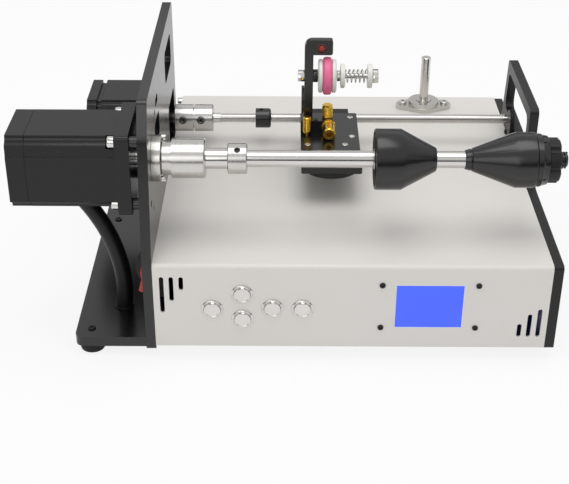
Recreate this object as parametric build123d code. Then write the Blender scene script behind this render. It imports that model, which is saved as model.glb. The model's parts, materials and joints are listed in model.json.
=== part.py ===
from build123d import *
import math
import os

# Coil winding machine with a driven spindle and a lead-screw wire guide.
# Working axes: X to the right, Y towards the back, Z up, in millimetres.
# X = 0 is midway between the side plates, Y = 0 is the front of the case and Z = 0 is the floor.
# At the end everything is moved so that the origin is the bottom centre of the whole machine.

# ---- case ----
INNER_W = 280.0  # between the two side plates
CASE_D = 290.0  # front to back
CASE_TOP = 79.0  # top of the case above the floor
CASE_LOW = 11.0  # lower edge of the case above the floor
SHEET = 1.5  # sheet metal
CASE_FRONT_R = 3.0  # bend along the top front edge
PANEL_GAP = 0.3  # all round the back panel
TRAY_T = 6.0  # floor plate inside the case
TRAY_EDGE = 2.0  # floor plate's distance from the front and back

# ---- side plates ----
PLATE_T = 7.0
LEFT_LOW = 7.5  # lower edge of the left plate
RIGHT_LOW = 10.0  # lower edge of the right plate
LEFT_TOP = 112.0  # above the case top
LEFT_KNEE = 16.0  # the front edge leans back by this up to the knee, in front of the motor's screws
LEFT_KNEE_Z = 88.0
LEFT_LEAN = 27.0  # how far the front edge leans back at the top
LEFT_BACK = 225.0
LEFT_CORNER_R = 5.0
WINDOW_Y = 174.5  # upper window of the left plate
WINDOW_Z = 82.5  # above the case top
WINDOW_L = 50.0
WINDOW_H = 25.0
WINDOW_R = 6.0
DRIVE_WINDOW_Y = 187.0  # window that the lead screw's drive passes through
DRIVE_WINDOW_Z = 23.0
DRIVE_WINDOW_L = 48.0
DRIVE_WINDOW_H = 42.0
LOOM_SLOT_Y = 82.5
LOOM_SLOT_Z = 88.0
LOOM_SLOT_L = 16.0
LOOM_SLOT_H = 6.0
VIEW_SLOT_Y = 79.0
VIEW_SLOT_Z = 66.0
VIEW_SLOT_L = 32.0
VIEW_SLOT_H = 20.0
TAPPED_R = 1.6  # spare tapped hole near the front edge
TAPPED_Y = 33.4
TAPPED_Z = 27.1

# ---- carrying handle, part of the right plate ----
HANDLE_TOP = 58.0  # above the case top
HANDLE_FRONT = 134.0
HANDLE_BACK = 238.0
HANDLE_HEEL = 247.0  # where the back leg meets the plate
HANDLE_BAR = 9.0  # thickness of the top bar and the front leg
HANDLE_SILL = 17.0  # bottom of the opening above the case top
HANDLE_FILLET = 24.0  # sweep from the plate into the front leg
HANDLE_HEEL_R = 10.0
HANDLE_CORNER_R = 4.0
GRIP_R = 6.0  # corners of the opening

# ---- motor shelf and feet ----
SHELF_L = 52.0  # how far it stands out from the left plate
SHELF_T = 8.0
SHELF_Z = 8.0  # underside above the floor, so also the height of the shelf's feet
SHELF_FRONT = 3.0
SHELF_R = 6.0
FOOT_R = 9.0
FOOT_INSET = 11.0  # foot centre from the shelf's edges
FOOT_BACK = 175.0
CASE_FOOT_X = 118.0
CASE_FOOT_Y = 30.0

# ---- spindle ----
SPINDLE_Y = 44.0
SPINDLE_Z = 61.0  # above the case top
SHAFT_R = 6.0
SHAFT_END = 149.5  # right end
JOURNAL_R = 7.5  # thick part next to the hub
JOURNAL_END = -87.6
HUB_R = 14.0
HUB_L = 23.4
HUB_X = -126.4  # left face of the large part of the hub
HUB_STEP_R = 11.9
HUB_STEP_L = 7.0
SLEEVE_R = 8.0  # hub's neck inside the bearing
COLLAR_R = 10.9
COLLAR_L = 13.5
CONE_X = 14.9  # left face of the left cone
CONE_R = 21.5
CONE_RIM_L = 18.2
CONE_L = 43.1
CONE_NOSE_R = 8.2
CLAMP_X = 78.0  # nose of the right cone
CLAMP_NOSE_R = 7.2
CLAMP_NOSE_L = 4.8
CLAMP_TAPER_L = 30.2
CLAMP_R = 19.5
CLAMP_L = 48.3
RING_L = 8.9
RING_R = 18.6
KNOB_L = 7.9
KNOB_R = 15.9
KNOB_LOBES = 7
FIT = 0.02  # radial clearance of pieces that are fixed to each other
RUN = 0.06  # radial clearance of pieces that turn or slide on each other
GAP = 0.3  # clearance between faces that pass each other

# ---- spindle bearing ----
HOUSING_R = 16.6
HOUSING_FLANGE = 6.4
HOUSING_SPIGOT_R = 12.7
HOUSING_SCREW_R = 14.5  # its two screws, from the axis
HOUSING_HEAD_R = 2.2
HOUSING_HEAD_H = 2.8
HOUSING_SCREW_L = 5.5  # into the plate
BEARING_R = 11.6

# ---- spindle motor ----
MOTOR_SQ = 60.0
MOTOR_FLANGE_T = 10.0
MOTOR_BODY_L = 61.5
MOTOR_CAP_L = 13.0
MOTOR_STANDOFF = 5.5  # gap between the motor and the left plate
MOTOR_PITCH = 47.14  # between the fixing holes
MOTOR_BODY_SQ = 54.4
MOTOR_FLUTE = 6.0  # round flute along each corner of the body
BAND_LOW = 13.5  # sunk band along the front's upper part, from the axis upwards
BAND_STEP = 0.8
BAND_DEEP = 2.4
MOTOR_BORE_R = 19.0
MOTOR_SHAFT_R = 5.0
MOTOR_CORNER_R = 3.0
STANDOFF_R = 4.0

# ---- lead screw ----
SCREW_Y = 196.0
SCREW_Z = 22.0  # above the case top
SCREW_R = 4.0
SCREW_X = -106.7  # where it leaves the coupling
SCREW_PLAIN = 4.7  # unthreaded neck
SCREW_END = 137.8
SCREW_PITCH = 2.0
TIP_R = 3.0
TIP_L = 4.0
COUPLING_R = 11.0
COUPLING_L = 31.5
COUPLING_SLIT = 1.2
STOP_X = -71.9
STOP_L = 12.6
STOP_R = 8.0
STOP_HOLE_R = 1.7  # its set screw
STOP_ROUND = 2.0  # its right rim

# ---- lead screw motor ----
DRIVE_SQ = 49.0
DRIVE_PLATE_T = 4.0
DRIVE_LAP = 5.5  # bracket in front of its window
DRIVE_LAP_BACK = 1.0  # bracket behind the motor
DRIVE_FIX_Z = 19.0  # bracket screws above and below the lead screw
DRIVE_L = 44.0
DRIVE_CAP_L = 8.0
DRIVE_SEAM = 3.4
DRIVE_SHAFT_R = 5.0
DRIVE_BORE_R = 15.0
DRIVE_FLUTE = 4.0

# ---- wire guide carriage ----
PLATE_X = -35.5  # left edge of the carriage plate at rest
CARRIAGE_W = 45.5
CARRIAGE_FRONT = 88.5
CARRIAGE_BACK = 187.0
CARRIAGE_Z = 26.0  # underside above the case top
CARRIAGE_T = 5.0
NUT_X = -30.0
NUT_L = 34.0
NUT_FRONT = 174.0
NUT_BACK = 203.0
NUT_LOW = 10.0
NUT_OVER = 6.0  # nut block above the screw's axis, behind the plate
SHOE_R = 22.5
SHOE_T = 4.0
SHOE_FOOT_Y = 140.0
SHOE_FOOT_R = 7.0
CLAMP_BLOCK_W = 26.0
CLAMP_BLOCK_FRONT = 150.5
CLAMP_BLOCK_D = 13.0
CLAMP_BLOCK_H = 9.5
BAR_X = -33.0
BAR_W = 6.7
BAR_D = 6.0
BAR_TOP = 106.0  # above the case top
ARM_L = 21.5
ARM_H = 12.0
BAR_CORNER_R = 6.0
NOZZLE_X = -13.6
NOZZLE_Z = 36.6
NOZZLE_R = 5.0
NOZZLE_L = 13.5
NOZZLE_RIM_R = 5.5
NOZZLE_RIM_L = 3.0
NOZZLE_BORE_R = 2.0
NOZZLE_TAIL_R = 3.0
PINCH_R = 4.3  # knurled screw over the nozzle
PINCH_H = 11.5
THUMB_R = 3.3  # knurled screw in front of the bar
THUMB_H = 13.0
THUMB_LIFT = 2.0
THUMB_Y = 146.6
THUMB_X = -30.6

# ---- tension unit on the bar ----
AXLE_Z = 76.0  # above the case top
AXLE_R = 2.0
AXLE_LEFT = -38.0
AXLE_END = 23.9
SPACER_R = 5.0
SPACER_L = 3.6
WHEEL_R = 13.0
WHEEL_W = 14.0
TYRE_R = 14.6
TYRE_W = 6.7
SEAT_R = 9.3
SEAT_X = -5.3
SEAT_T = 3.6
SPRING_R = 4.9
SPRING_WIRE = 1.1
SPRING_COILS = 5.0
DISC_X = 15.6
DISC_T = 3.6
NUT_R = 5.5
NUT_T = 4.6

# ---- spool post ----
POST_X = 74.0
POST_Y = 267.5
POST_R = 4.0
POST_TOP = 47.5  # above the case top
POST_BASE_L = 48.0
POST_BASE_W = 27.0
POST_BASE_T = 4.0
POST_BOSS_R = 13.0
POST_BOSS_H = 7.5
POST_SCREWS = 36.4
POST_RING_R = 6.5

# ---- front panel ----
BUTTONS = [(-98.7, -36.1), (-77.4, -23.5), (-77.2, -44.3), (-56.0, -35.2), (-34.7, -35.6)]
BUTTON_RIM_R = 7.7
BUTTON_RIM_T = 1.5
BUTTON_BODY_R = 6.7
BUTTON_BODY_L = 18.0
BUTTON_CAP_R = 5.9
BUTTON_CAP_L = 6.0
BUTTON_PROUD = 0.7  # cap in front of its rim
BUTTON_TRAVEL = 2.0
WINDOW_LCD_X = 55.0
WINDOW_LCD_Z = -33.3
LCD_W = 49.0
LCD_H = 36.6
LCD_SCREW_X = 67.6
LCD_SCREW_Z = 35.5
LCD_BOARD_W = 78.0
LCD_BOARD_H = 45.0
LEFT_SLOTS = [(-133.9, 29.6), (-127.1, 20.0), (-120.2, 10.8)]
RIGHT_SLOTS = [(120.5, 11.0), (127.3, 19.3), (134.1, 23.6)]
SLOT_W = 3.2
LEFT_SLOT_TOP = -9.8
RIGHT_SLOT_LOW = -58.8

# ---- power rocker on the left plate ----
ROCKER_Y = 16.0
ROCKER_Z = -20.5  # from the case top
ROCKER_W = 13.0
ROCKER_H = 19.0
ROCKER_RIM_Z = -15.5
ROCKER_RIM_W = 19.0
ROCKER_RIM_H = 35.0
ROCKER_SINK = 4.0  # pivot inside the plate's outer face
ROCKER_RIM_T = 1.0
ROCKER_TILT = 6.0
GUARD_RISE = 7.2  # arched guard behind the rocker
GUARD_T = 2.4
ROCKER_BACK = 16.0

# ---- motor cable ----
CABLE_R = 6.0
CABLE_Y = 45.0
CABLE_TOP_X = -193.0
CABLE_FOOT_X = -167.5
CABLE_BEND = 45.0  # degrees turned by its single arc
GLAND_R = 8.5
GLAND_H = 4.0
LIP_R = 7.2  # ring on the shelf that the cable goes into
LIP_H = 1.2

# ---- inside the case ----
INSIDE_GAP = 14.0  # between the electronics, and between them and the back panel
INLET_DEPTH = 24.0
INLET_SOCKET = 17.0
SUPPLY_W = 110.0
SUPPLY_H = 38.0
SUPPLY_SIDE = 8.0  # from the case wall
DRIVER_W = 84.0
DRIVER_H = 26.0
DRIVER_SIDE = 22.0
DRIVER_FRONT = 30.0
DRIVER_GAP = 16.0
FIN_PITCH = 8.5
FIN_GAP = 4.0
FIN_DEPTH = 7.0
FINS = 9
BOARD_FRONT = 18.0
BOARD_W = 96.0
BOARD_D = 82.0
BOARD_T = 1.6
BOARD_LIFT = 8.0
BOARD_EDGE = 6.0  # to its pillars
PILLAR_R = 3.0
CHIP = 20.0
CHIP_H = 2.5
TERMINAL_W = 10.0
TERMINAL_L = 52.0
TERMINAL_H = 9.0
RELAY_W = 20.0
RELAY_D = 14.0
RELAY_H = 12.0

# ---- fasteners ----
M4_R = 2.0
M4_HEAD_R = 3.5
M4_HEAD_H = 2.4
M5_R = 2.5
M5_HEAD_R = 4.2
M5_HEAD_H = 5.0
REAR_HEAD_R = 4.0  # screw at the case's back corner
REAR_HEAD_H = 4.2
REAR_DROP = 3.9  # its axis below the case top
FOOT_HEAD_R = 2.9  # screws that hold the shelf's feet
FOOT_HEAD_H = 1.0
FOOT_SCREW_L = 4.5  # into the foot
M3_R = 1.5
M3_HEAD_R = 2.1
M3_HEAD_H = 1.2

# ---- back panel ----
INLET_X = -95.0  # centre
INLET_Z = 42.0  # above the floor
INLET_W = 27.0
INLET_H = 20.0
VENT_N = 9  # slots in the back panel
VENT_PITCH = 8.0
VENT_H = 30.0

# ---- details of the spindle and its motor ----
HEAD_POCKET = 6.0  # length of the pocket for each fixing screw
ROTOR_GAP = 0.8  # between a rotor and its motor
HUB_DEPTH = 14.0  # motor shaft inside the hub
HUB_HOLE_TILT = -100.0  # its set screw, in degrees from straight up; negative is to the back
COLLAR_HOLE_TILT = 31.6
COLLAR_HOLE_R = 2.2
CONE_DISH = 1.6  # recess in the left cone's face
CONE_DISH_R = 18.0
NOTCH = 2.0  # spanner notches of the ring nut
NOTCHES = 8
LOBE_R = 3.4  # hollows between the lobes of the knob

# ---- details of the lead screw and its drive ----
PILOT_R = 13.0  # opening of the bracket round the motor shaft
DRIVE_FIX_DEPTH = 5.0  # screws into the left plate
SET_SCREW_R = 3.2  # coupling's set screws
SET_SCREW_TILT = 77.6  # degrees from straight up towards the front
SET_SCREW_SINK = 1.5
THREAD_DEPTH = 0.45
END_BEARING_R = 8.0
END_BEARING_T = 3.5
END_TAB_W = 20.0
END_TAB_LOW = 4.0
END_FIX_DEPTH = 4.5  # screws into the right plate

# ---- details of the wire guide ----
PINCH_PIN_R = 1.6  # threaded end of the screw above the nozzle
THUMB_PIN_R = 1.6  # threaded end of the front screw
RED_SCREW_X = -20.0
RED_SCREW_Z = 99.5  # above the case top
HEX_R = 4.6  # hexagon of the axle
GROOVE_R = 11.6  # seat of the tyre

# ---- details of the shelf, display and rocker ----
SHELF_SCREW_L = 18.0  # depth into the shelf
LCD_DEPTH = 8.0
ROCKER_RISE = 7.6  # rocker outwards from its pivot
ROCKER_DROP = 5.5  # rocker inwards from its pivot
ROCKER_PIN_R = 1.2  # its two pivot pins
ROCKER_PIN_L = 1.0

# ---- derived places ----
X_IN = INNER_W / 2  # inner faces of the side plates
X_OUT = X_IN + PLATE_T
TOP = CASE_TOP
SPZ = TOP + SPINDLE_Z
LSZ = TOP + SCREW_Z
MOTOR_FACE = -X_OUT - MOTOR_STANDOFF
MOTOR_SEAM = MOTOR_FACE - MOTOR_FLANGE_T
MOTOR_BACK = MOTOR_SEAM - MOTOR_BODY_L
MOTOR_END = MOTOR_BACK - MOTOR_CAP_L
DRIVE_FACE = -X_OUT - DRIVE_PLATE_T
DRIVE_END = DRIVE_FACE - DRIVE_L
SHELF_TOP = SHELF_Z + SHELF_T
SHELF_LEFT = -X_OUT - SHELF_L
TRAY_Z = CASE_LOW
TRAY_TOP = TRAY_Z + TRAY_T
CAR_LOW = TOP + CARRIAGE_Z
CAR_TOP = CAR_LOW + CARRIAGE_T
CAR_MID = PLATE_X + CARRIAGE_W / 2
BAR_Y = CLAMP_BLOCK_FRONT + CLAMP_BLOCK_D / 2
AXZ = TOP + AXLE_Z
BAR_RIGHT = BAR_X + BAR_W

PARTS = {}


def keep(name, shape):
    """Files a finished piece under its name."""
    PARTS[name] = shape


def block(x0, x1, y0, y1, z0, z1):
    return Pos((x0 + x1) / 2, (y0 + y1) / 2, (z0 + z1) / 2) * Box(x1 - x0, y1 - y0, z1 - z0)


def xrod(r, x0, x1, y, z):
    return Pos((x0 + x1) / 2, y, z) * Rot(0, 90, 0) * Cylinder(r, x1 - x0)


def yrod(r, y0, y1, x, z):
    return Pos(x, (y0 + y1) / 2, z) * Rot(90, 0, 0) * Cylinder(r, y1 - y0)


def zrod(r, z0, z1, x, y):
    return Pos(x, y, (z0 + z1) / 2) * Cylinder(r, z1 - z0)


def turned(points, y, z):
    """A solid turned about an axis along X through (y, z), from its (x, radius) outline."""
    outline = make_face(Polyline(*[(x, r) for x, r in points], close=True))
    return Pos(0, y, z) * revolve(outline, Axis.X)


def side_sheet(points, x0, thick, radii):
    """A plate normal to X from its (y, z) corners, each with its own corner radius."""
    face = make_face(Polyline(*points, close=True))
    for (y, z), r in zip(points, radii):
        if r:
            near = [v for v in face.vertices() if (v.center() - Vector(y, z, 0)).length < 1e-4]
            face = fillet(near, r)
    return extrude(Plane.YZ.offset(x0) * face, amount=thick)


def side_slot(y, z, length, height, r, x0, x1):
    """A rounded rectangular cutter through a side plate."""
    face = RectangleRounded(length, height, r)
    return extrude(Plane.YZ.offset(x0) * (Pos(y, z) * face), amount=x1 - x0)


def motor_section(side, flute, x0, x1, y, z):
    """A square motor section with a round flute scooped out along each corner."""
    half = side / 2
    solid = block(x0, x1, y - half, y + half, z - half, z + half)
    for sy in (-1, 1):
        for sz in (-1, 1):
            solid -= xrod(flute, x0 - 1, x1 + 1, y + sy * half, z + sz * half)
    return solid


def square_plate(side, r, x0, x1, y, z):
    face = RectangleRounded(side, side, r)
    return extrude(Plane.YZ.offset(x0) * (Pos(y, z) * face), amount=x1 - x0)


def screw_along_x(x_face, out, r, head_r, head_h, depth, y, z):
    """A screw whose head rests on x_face; out is +1 or -1, the side that the head is on."""
    a, b = sorted((x_face, x_face + out * head_h))
    c, d = sorted((x_face, x_face - out * depth))
    head = xrod(head_r, a, b, y, z)
    rim = head.edges().filter_by(GeomType.CIRCLE).sort_by(Axis.X)[-1 if out > 0 else 0]
    head = fillet(rim, head_h * 0.4)
    return head + xrod(r, c, d, y, z)


# ================= side plates =================
left_points = [
    (0.0, LEFT_LOW),
    (0.0, TOP),
    (LEFT_KNEE, TOP + LEFT_KNEE_Z),
    (LEFT_LEAN, TOP + LEFT_TOP),
    (LEFT_BACK, TOP + LEFT_TOP),
    (LEFT_BACK, LEFT_LOW),
]
left_plate = side_sheet(left_points, -X_OUT, PLATE_T, [2, 6, 30, LEFT_CORNER_R, LEFT_CORNER_R, 2])
motor_holes = [
    (SPINDLE_Y + sy * MOTOR_PITCH / 2, SPZ + sz * MOTOR_PITCH / 2) for sy in (-1, 1) for sz in (-1, 1)
]
left_cuts = [
    side_slot(WINDOW_Y, TOP + WINDOW_Z, WINDOW_L, WINDOW_H, WINDOW_R, -X_OUT - 1, -X_IN + 1),
    side_slot(DRIVE_WINDOW_Y, TOP + DRIVE_WINDOW_Z, DRIVE_WINDOW_L, DRIVE_WINDOW_H, WINDOW_R,
              -X_OUT - 1, -X_IN + 1),
    side_slot(LOOM_SLOT_Y, TOP + LOOM_SLOT_Z, LOOM_SLOT_L, LOOM_SLOT_H, LOOM_SLOT_H / 2 - 0.01,
              -X_OUT - 1, -X_IN + 1),
    side_slot(VIEW_SLOT_Y, TOP + VIEW_SLOT_Z, VIEW_SLOT_L, VIEW_SLOT_H, WINDOW_R, -X_OUT - 1, -X_IN + 1),
    xrod(HOUSING_SPIGOT_R + FIT, -X_OUT - 1, -X_IN + 1, SPINDLE_Y, SPZ),
    side_slot(ROCKER_Y, TOP + ROCKER_Z, ROCKER_W + 3, ROCKER_H + 3, 0.2, -X_OUT - 1, -X_IN + 1),
]
for y, z in motor_holes:
    left_cuts.append(xrod(M5_R + FIT, -X_OUT - 1, -X_IN + 1, y, z))
for cut in left_cuts:
    left_plate -= cut

sill = TOP + HANDLE_SILL
crown = TOP + HANDLE_TOP
right_points = [
    (0.0, RIGHT_LOW),
    (0.0, TOP),
    (HANDLE_FRONT, TOP),
    (HANDLE_FRONT, crown),
    (HANDLE_BACK, crown),
    (HANDLE_HEEL, TOP),
    (CASE_D, TOP),
    (CASE_D, RIGHT_LOW),
]
right_radii = [2, 3, HANDLE_FILLET, HANDLE_CORNER_R, HANDLE_CORNER_R, HANDLE_HEEL_R, 3, 2]
right_plate = side_sheet(right_points, X_IN, PLATE_T, right_radii)
grip_front = HANDLE_FRONT + HANDLE_BAR
grip_top = crown - HANDLE_BAR
back_slope = (HANDLE_HEEL - HANDLE_BACK) / HANDLE_TOP
grip_points = [
    (grip_front, sill),
    (grip_front, grip_top),
    (HANDLE_BACK + back_slope * HANDLE_BAR - HANDLE_BAR, grip_top),
    (HANDLE_BACK + back_slope * (HANDLE_TOP - HANDLE_SILL) - HANDLE_BAR, sill),
]
grip = side_sheet(grip_points, X_IN - 1, PLATE_T + 2, [GRIP_R] * 4)
right_plate -= grip

# ================= case =================
shell = block(-X_IN, X_IN, 0, CASE_D, CASE_LOW, TOP)
front_top = shell.edges().filter_by(Axis.X).sort_by(lambda e: e.center().Z - e.center().Y)[-1]
shell = fillet(front_top, CASE_FRONT_R)
inner = block(-X_IN + SHEET, X_IN - SHEET, SHEET, CASE_D + 1, CASE_LOW - 1, TOP - SHEET)
inner_edge = inner.edges().filter_by(Axis.X).sort_by(lambda e: e.center().Z - e.center().Y)[-1]
inner = fillet(inner_edge, CASE_FRONT_R - SHEET)
cover = shell - inner


def front_slot(x, z0, z1):
    face = RectangleRounded(SLOT_W, z1 - z0, SLOT_W / 2 - 0.01)
    plane = Plane(origin=(x, -1, (z0 + z1) / 2), x_dir=(1, 0, 0), z_dir=(0, 1, 0))
    return extrude(plane * face, amount=SHEET + 2)


for x, h in LEFT_SLOTS:
    cover -= front_slot(x, TOP + LEFT_SLOT_TOP - h, TOP + LEFT_SLOT_TOP)
for x, h in RIGHT_SLOTS:
    cover -= front_slot(x, TOP + RIGHT_SLOT_LOW, TOP + RIGHT_SLOT_LOW + h)
for x, z in BUTTONS:
    cover -= yrod(BUTTON_BODY_R + FIT, -1, SHEET + 1, x, TOP + z)
lcd_z = TOP + WINDOW_LCD_Z
cover -= block(WINDOW_LCD_X - LCD_W / 2, WINDOW_LCD_X + LCD_W / 2, -1, SHEET + 1,
               lcd_z - LCD_H / 2, lcd_z + LCD_H / 2)
lcd_screws = [
    (WINDOW_LCD_X + sx * LCD_SCREW_X / 2, lcd_z + sz * LCD_SCREW_Z / 2) for sx in (-1, 1) for sz in (-1, 1)
]
for x, z in lcd_screws:
    cover -= yrod(M3_R + FIT, -1, SHEET + 1, x, z)
post_screws = [(POST_X + s * POST_SCREWS / 2, POST_Y) for s in (-1, 1)]
for x, y in post_screws:
    cover -= zrod(M4_R + FIT, TOP - SHEET - 1, TOP + 1, x, y)

left_plate -= xrod(TAPPED_R, -X_OUT - 1, -X_IN + 1, TAPPED_Y, TOP + TAPPED_Z)

# fixing points between the side plates and the case, (y, z)
case_fix_right = [(18.0, TOP - 14.0), (18.0, CASE_LOW + 14.0), (CASE_D - 18.0, TOP - 14.0),
                  (CASE_D - 18.0, CASE_LOW + 14.0)]
case_fix_left = [(LEFT_BACK - 14.0, TOP - 30.0), (LEFT_BACK - 14.0, CASE_LOW + 14.0),
                 (45.0, TOP - 14.0), (45.0, CASE_LOW + 14.0)]
for y, z in case_fix_right:
    hole = xrod(M4_R + FIT, X_IN - SHEET - 1, X_OUT + 1, y, z)
    cover -= hole
    right_plate -= hole
for y, z in case_fix_left:
    hole = xrod(M4_R + FIT, -X_OUT - 1, -X_IN + SHEET + 1, y, z)
    cover -= hole
    left_plate -= hole
# the rocker's body passes through the plate and the case wall
cover -= block(-X_IN - 1, -X_IN + SHEET + 1, ROCKER_Y - ROCKER_W / 2 - 1.5, ROCKER_Y + ROCKER_W / 2 + 1.5,
               TOP + ROCKER_Z - ROCKER_H / 2 - 1.5, TOP + ROCKER_Z + ROCKER_H / 2 + 1.5)
# fixing of the case behind the left plate's back edge
rear_fix = (CASE_D - 5.0, TOP - REAR_DROP)
cover -= xrod(M4_R + FIT, -X_IN - 1, -X_IN + SHEET + 1, *rear_fix)
keep("case_cover", cover)

# ================= back panel =================
back = block(-X_IN + SHEET + PANEL_GAP, X_IN - SHEET - PANEL_GAP, CASE_D - SHEET, CASE_D,
             CASE_LOW, TOP - SHEET - PANEL_GAP)
back -= block(INLET_X - INLET_W / 2, INLET_X + INLET_W / 2, CASE_D - SHEET - 1, CASE_D + 1,
              INLET_Z - INLET_H / 2, INLET_Z + INLET_H / 2)
for i in range(VENT_N):
    face = RectangleRounded(3.0, VENT_H, 1.49)
    plane = Plane(origin=(40.0 + i * VENT_PITCH, CASE_D - SHEET - 1, INLET_Z), x_dir=(1, 0, 0),
                  z_dir=(0, 1, 0))
    back -= extrude(plane * face, amount=SHEET + 2)
keep("back_panel", back)

inlet = block(INLET_X - INLET_W / 2 + 0.1, INLET_X + INLET_W / 2 - 0.1, CASE_D - INLET_DEPTH, CASE_D + 0.01,
              INLET_Z - INLET_H / 2 + 0.1, INLET_Z + INLET_H / 2 - 0.1)
inlet += block(INLET_X - INLET_W / 2 - 10, INLET_X + INLET_W / 2 + 10, CASE_D, CASE_D + 2.5,
               INLET_Z - INLET_H / 2 - 2.5, INLET_Z + INLET_H / 2 + 2.5)
inlet -= block(INLET_X - 12.1, INLET_X + 12.1, CASE_D - INLET_SOCKET, CASE_D + 3,
               INLET_Z - 8.0, INLET_Z + 8.0)
for dx, dz in ((-7.0, -1.5), (7.0, -1.5), (0.0, 2.5)):
    inlet += block(INLET_X + dx - 1.0, INLET_X + dx + 1.0, CASE_D - INLET_SOCKET - 1, CASE_D - 3,
                   INLET_Z + dz - 2.0, INLET_Z + dz + 2.0)
keep("power_inlet", inlet)

# ================= floor plate, shelf and feet =================
tray = block(-X_IN + SHEET, X_IN - SHEET, SHEET + TRAY_EDGE, CASE_D - SHEET - TRAY_EDGE,
             TRAY_Z, TRAY_TOP)
keep("base_plate", tray)

shelf_face = RectangleRounded(SHELF_L, LEFT_BACK - SHELF_FRONT, SHELF_R)
shelf_mid = Pos(-X_OUT - SHELF_L / 2, (LEFT_BACK + SHELF_FRONT) / 2, SHELF_Z)
shelf = shelf_mid * extrude(shelf_face, amount=SHELF_T)
shelf += block(-X_OUT - SHELF_L / 2, -X_OUT, SHELF_FRONT, LEFT_BACK, SHELF_Z, SHELF_TOP)
shelf_fix_y = [40.0, 112.0, 190.0]
shelf_fix_z = SHELF_Z + SHELF_T / 2
for y in shelf_fix_y:
    shelf -= xrod(M4_R + FIT, -X_OUT - SHELF_SCREW_L - 0.5, -X_OUT + 1, y, shelf_fix_z)
    left_plate -= xrod(M4_R + FIT, -X_OUT - 1, -X_IN + 1, y, shelf_fix_z)
    left_plate -= xrod(M4_HEAD_R + 0.2, -X_IN - M4_HEAD_H - 0.2, -X_IN + 1, y, shelf_fix_z)
keep("motor_shelf", shelf)

# ================= spindle bearing housing =================
housing = turned(
    [
        (-X_IN, BEARING_R + FIT),
        (-X_IN, HOUSING_SPIGOT_R),
        (-X_IN, HOUSING_R),
        (-X_IN + HOUSING_FLANGE, HOUSING_R),
        (-X_IN + HOUSING_FLANGE, BEARING_R - 2.0),
        (-X_IN + HOUSING_FLANGE - 1.5, BEARING_R - 2.0),
        (-X_IN + HOUSING_FLANGE - 1.5, BEARING_R + FIT),
    ],
    SPINDLE_Y,
    SPZ,
)
housing += xrod(HOUSING_SPIGOT_R, -X_OUT, -X_IN, SPINDLE_Y, SPZ) - xrod(
    BEARING_R + FIT, -X_OUT - 1, -X_IN + 1, SPINDLE_Y, SPZ)
housing_screws = [(SPINDLE_Y + HOUSING_SCREW_R * math.cos(math.radians(a)),
                   SPZ + HOUSING_SCREW_R * math.sin(math.radians(a))) for a in (62.0, 242.0)]
for y, z in housing_screws:
    hole = xrod(M3_R + FIT, -X_IN - HOUSING_SCREW_L - 0.5, -X_IN + HOUSING_FLANGE + 1, y, z)
    housing -= hole
    left_plate -= hole
ring_x0 = -X_OUT + 0.4
ring_x1 = -X_IN + HOUSING_FLANGE - 1.5
race = turned(
    [
        (ring_x0, SLEEVE_R + RUN),
        (ring_x0, BEARING_R + 0.5),
        (ring_x1, BEARING_R + 0.5),
        (ring_x1, SLEEVE_R + RUN),
    ],
    SPINDLE_Y,
    SPZ,
)
groove = turned(
    [
        (ring_x1 - 0.6, SLEEVE_R + 1.2),
        (ring_x1 - 0.6, BEARING_R - 1.2),
        (ring_x1 + 1.0, BEARING_R - 1.2),
        (ring_x1 + 1.0, SLEEVE_R + 1.2),
    ],
    SPINDLE_Y,
    SPZ,
)
keep("spindle_bearing", housing + (race - groove))

# ================= spindle motor =================
flange = square_plate(MOTOR_SQ, MOTOR_CORNER_R, MOTOR_SEAM, MOTOR_FACE, SPINDLE_Y, SPZ)
flange -= xrod(MOTOR_SHAFT_R + RUN, MOTOR_SEAM - 1, MOTOR_FACE + 1, SPINDLE_Y, SPZ)
for y, z in motor_holes:
    flange -= xrod(M5_R + FIT, MOTOR_SEAM - 1, MOTOR_FACE + 1, y, z)
keep("main_motor_flange", flange)

body_front = SPINDLE_Y - MOTOR_BODY_SQ / 2
band_top = SPZ + MOTOR_BODY_SQ / 2 + 1
band_points = [(body_front - 1, SPZ + BAND_LOW), (body_front + BAND_STEP, SPZ + BAND_LOW),
               (body_front + BAND_DEEP, band_top), (body_front - 1, band_top)]
band_face = make_face(Polyline(*band_points, close=True))
band = extrude(Plane.YZ.offset(MOTOR_END - 1) * band_face, amount=MOTOR_SEAM - MOTOR_END + 2)
body = motor_section(MOTOR_BODY_SQ, MOTOR_FLUTE, MOTOR_BACK, MOTOR_SEAM, SPINDLE_Y, SPZ) - band
# the fixing screws' heads stand in a pocket at each corner behind the flange
for y, z in motor_holes:
    body -= xrod(M5_HEAD_R + 0.6, MOTOR_SEAM - HEAD_POCKET, MOTOR_SEAM + 1, y, z)
body -= xrod(MOTOR_BORE_R, MOTOR_BACK - 1, MOTOR_SEAM + 1, SPINDLE_Y, SPZ)
keep("main_motor_body", body)

cap = motor_section(MOTOR_BODY_SQ, MOTOR_FLUTE, MOTOR_END, MOTOR_BACK, SPINDLE_Y, SPZ) - band
cap -= xrod(MOTOR_SHAFT_R + RUN, MOTOR_BACK - 8, MOTOR_BACK + 1, SPINDLE_Y, SPZ)
keep("main_motor_cap", cap)

spacers = None
for y, z in motor_holes:
    one = xrod(STANDOFF_R, MOTOR_FACE, -X_OUT, y, z) - xrod(M5_R + FIT, MOTOR_FACE - 1, -X_OUT + 1, y, z)
    spacers = one if spacers is None else spacers + one
keep("motor_spacers", spacers)

rotor = xrod(MOTOR_BORE_R - ROTOR_GAP, MOTOR_BACK + 8, MOTOR_SEAM - 6, SPINDLE_Y, SPZ)
rotor += xrod(MOTOR_SHAFT_R, MOTOR_BACK - 6, HUB_X + HUB_DEPTH, SPINDLE_Y, SPZ)
keep("main_motor_rotor", rotor)

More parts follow.
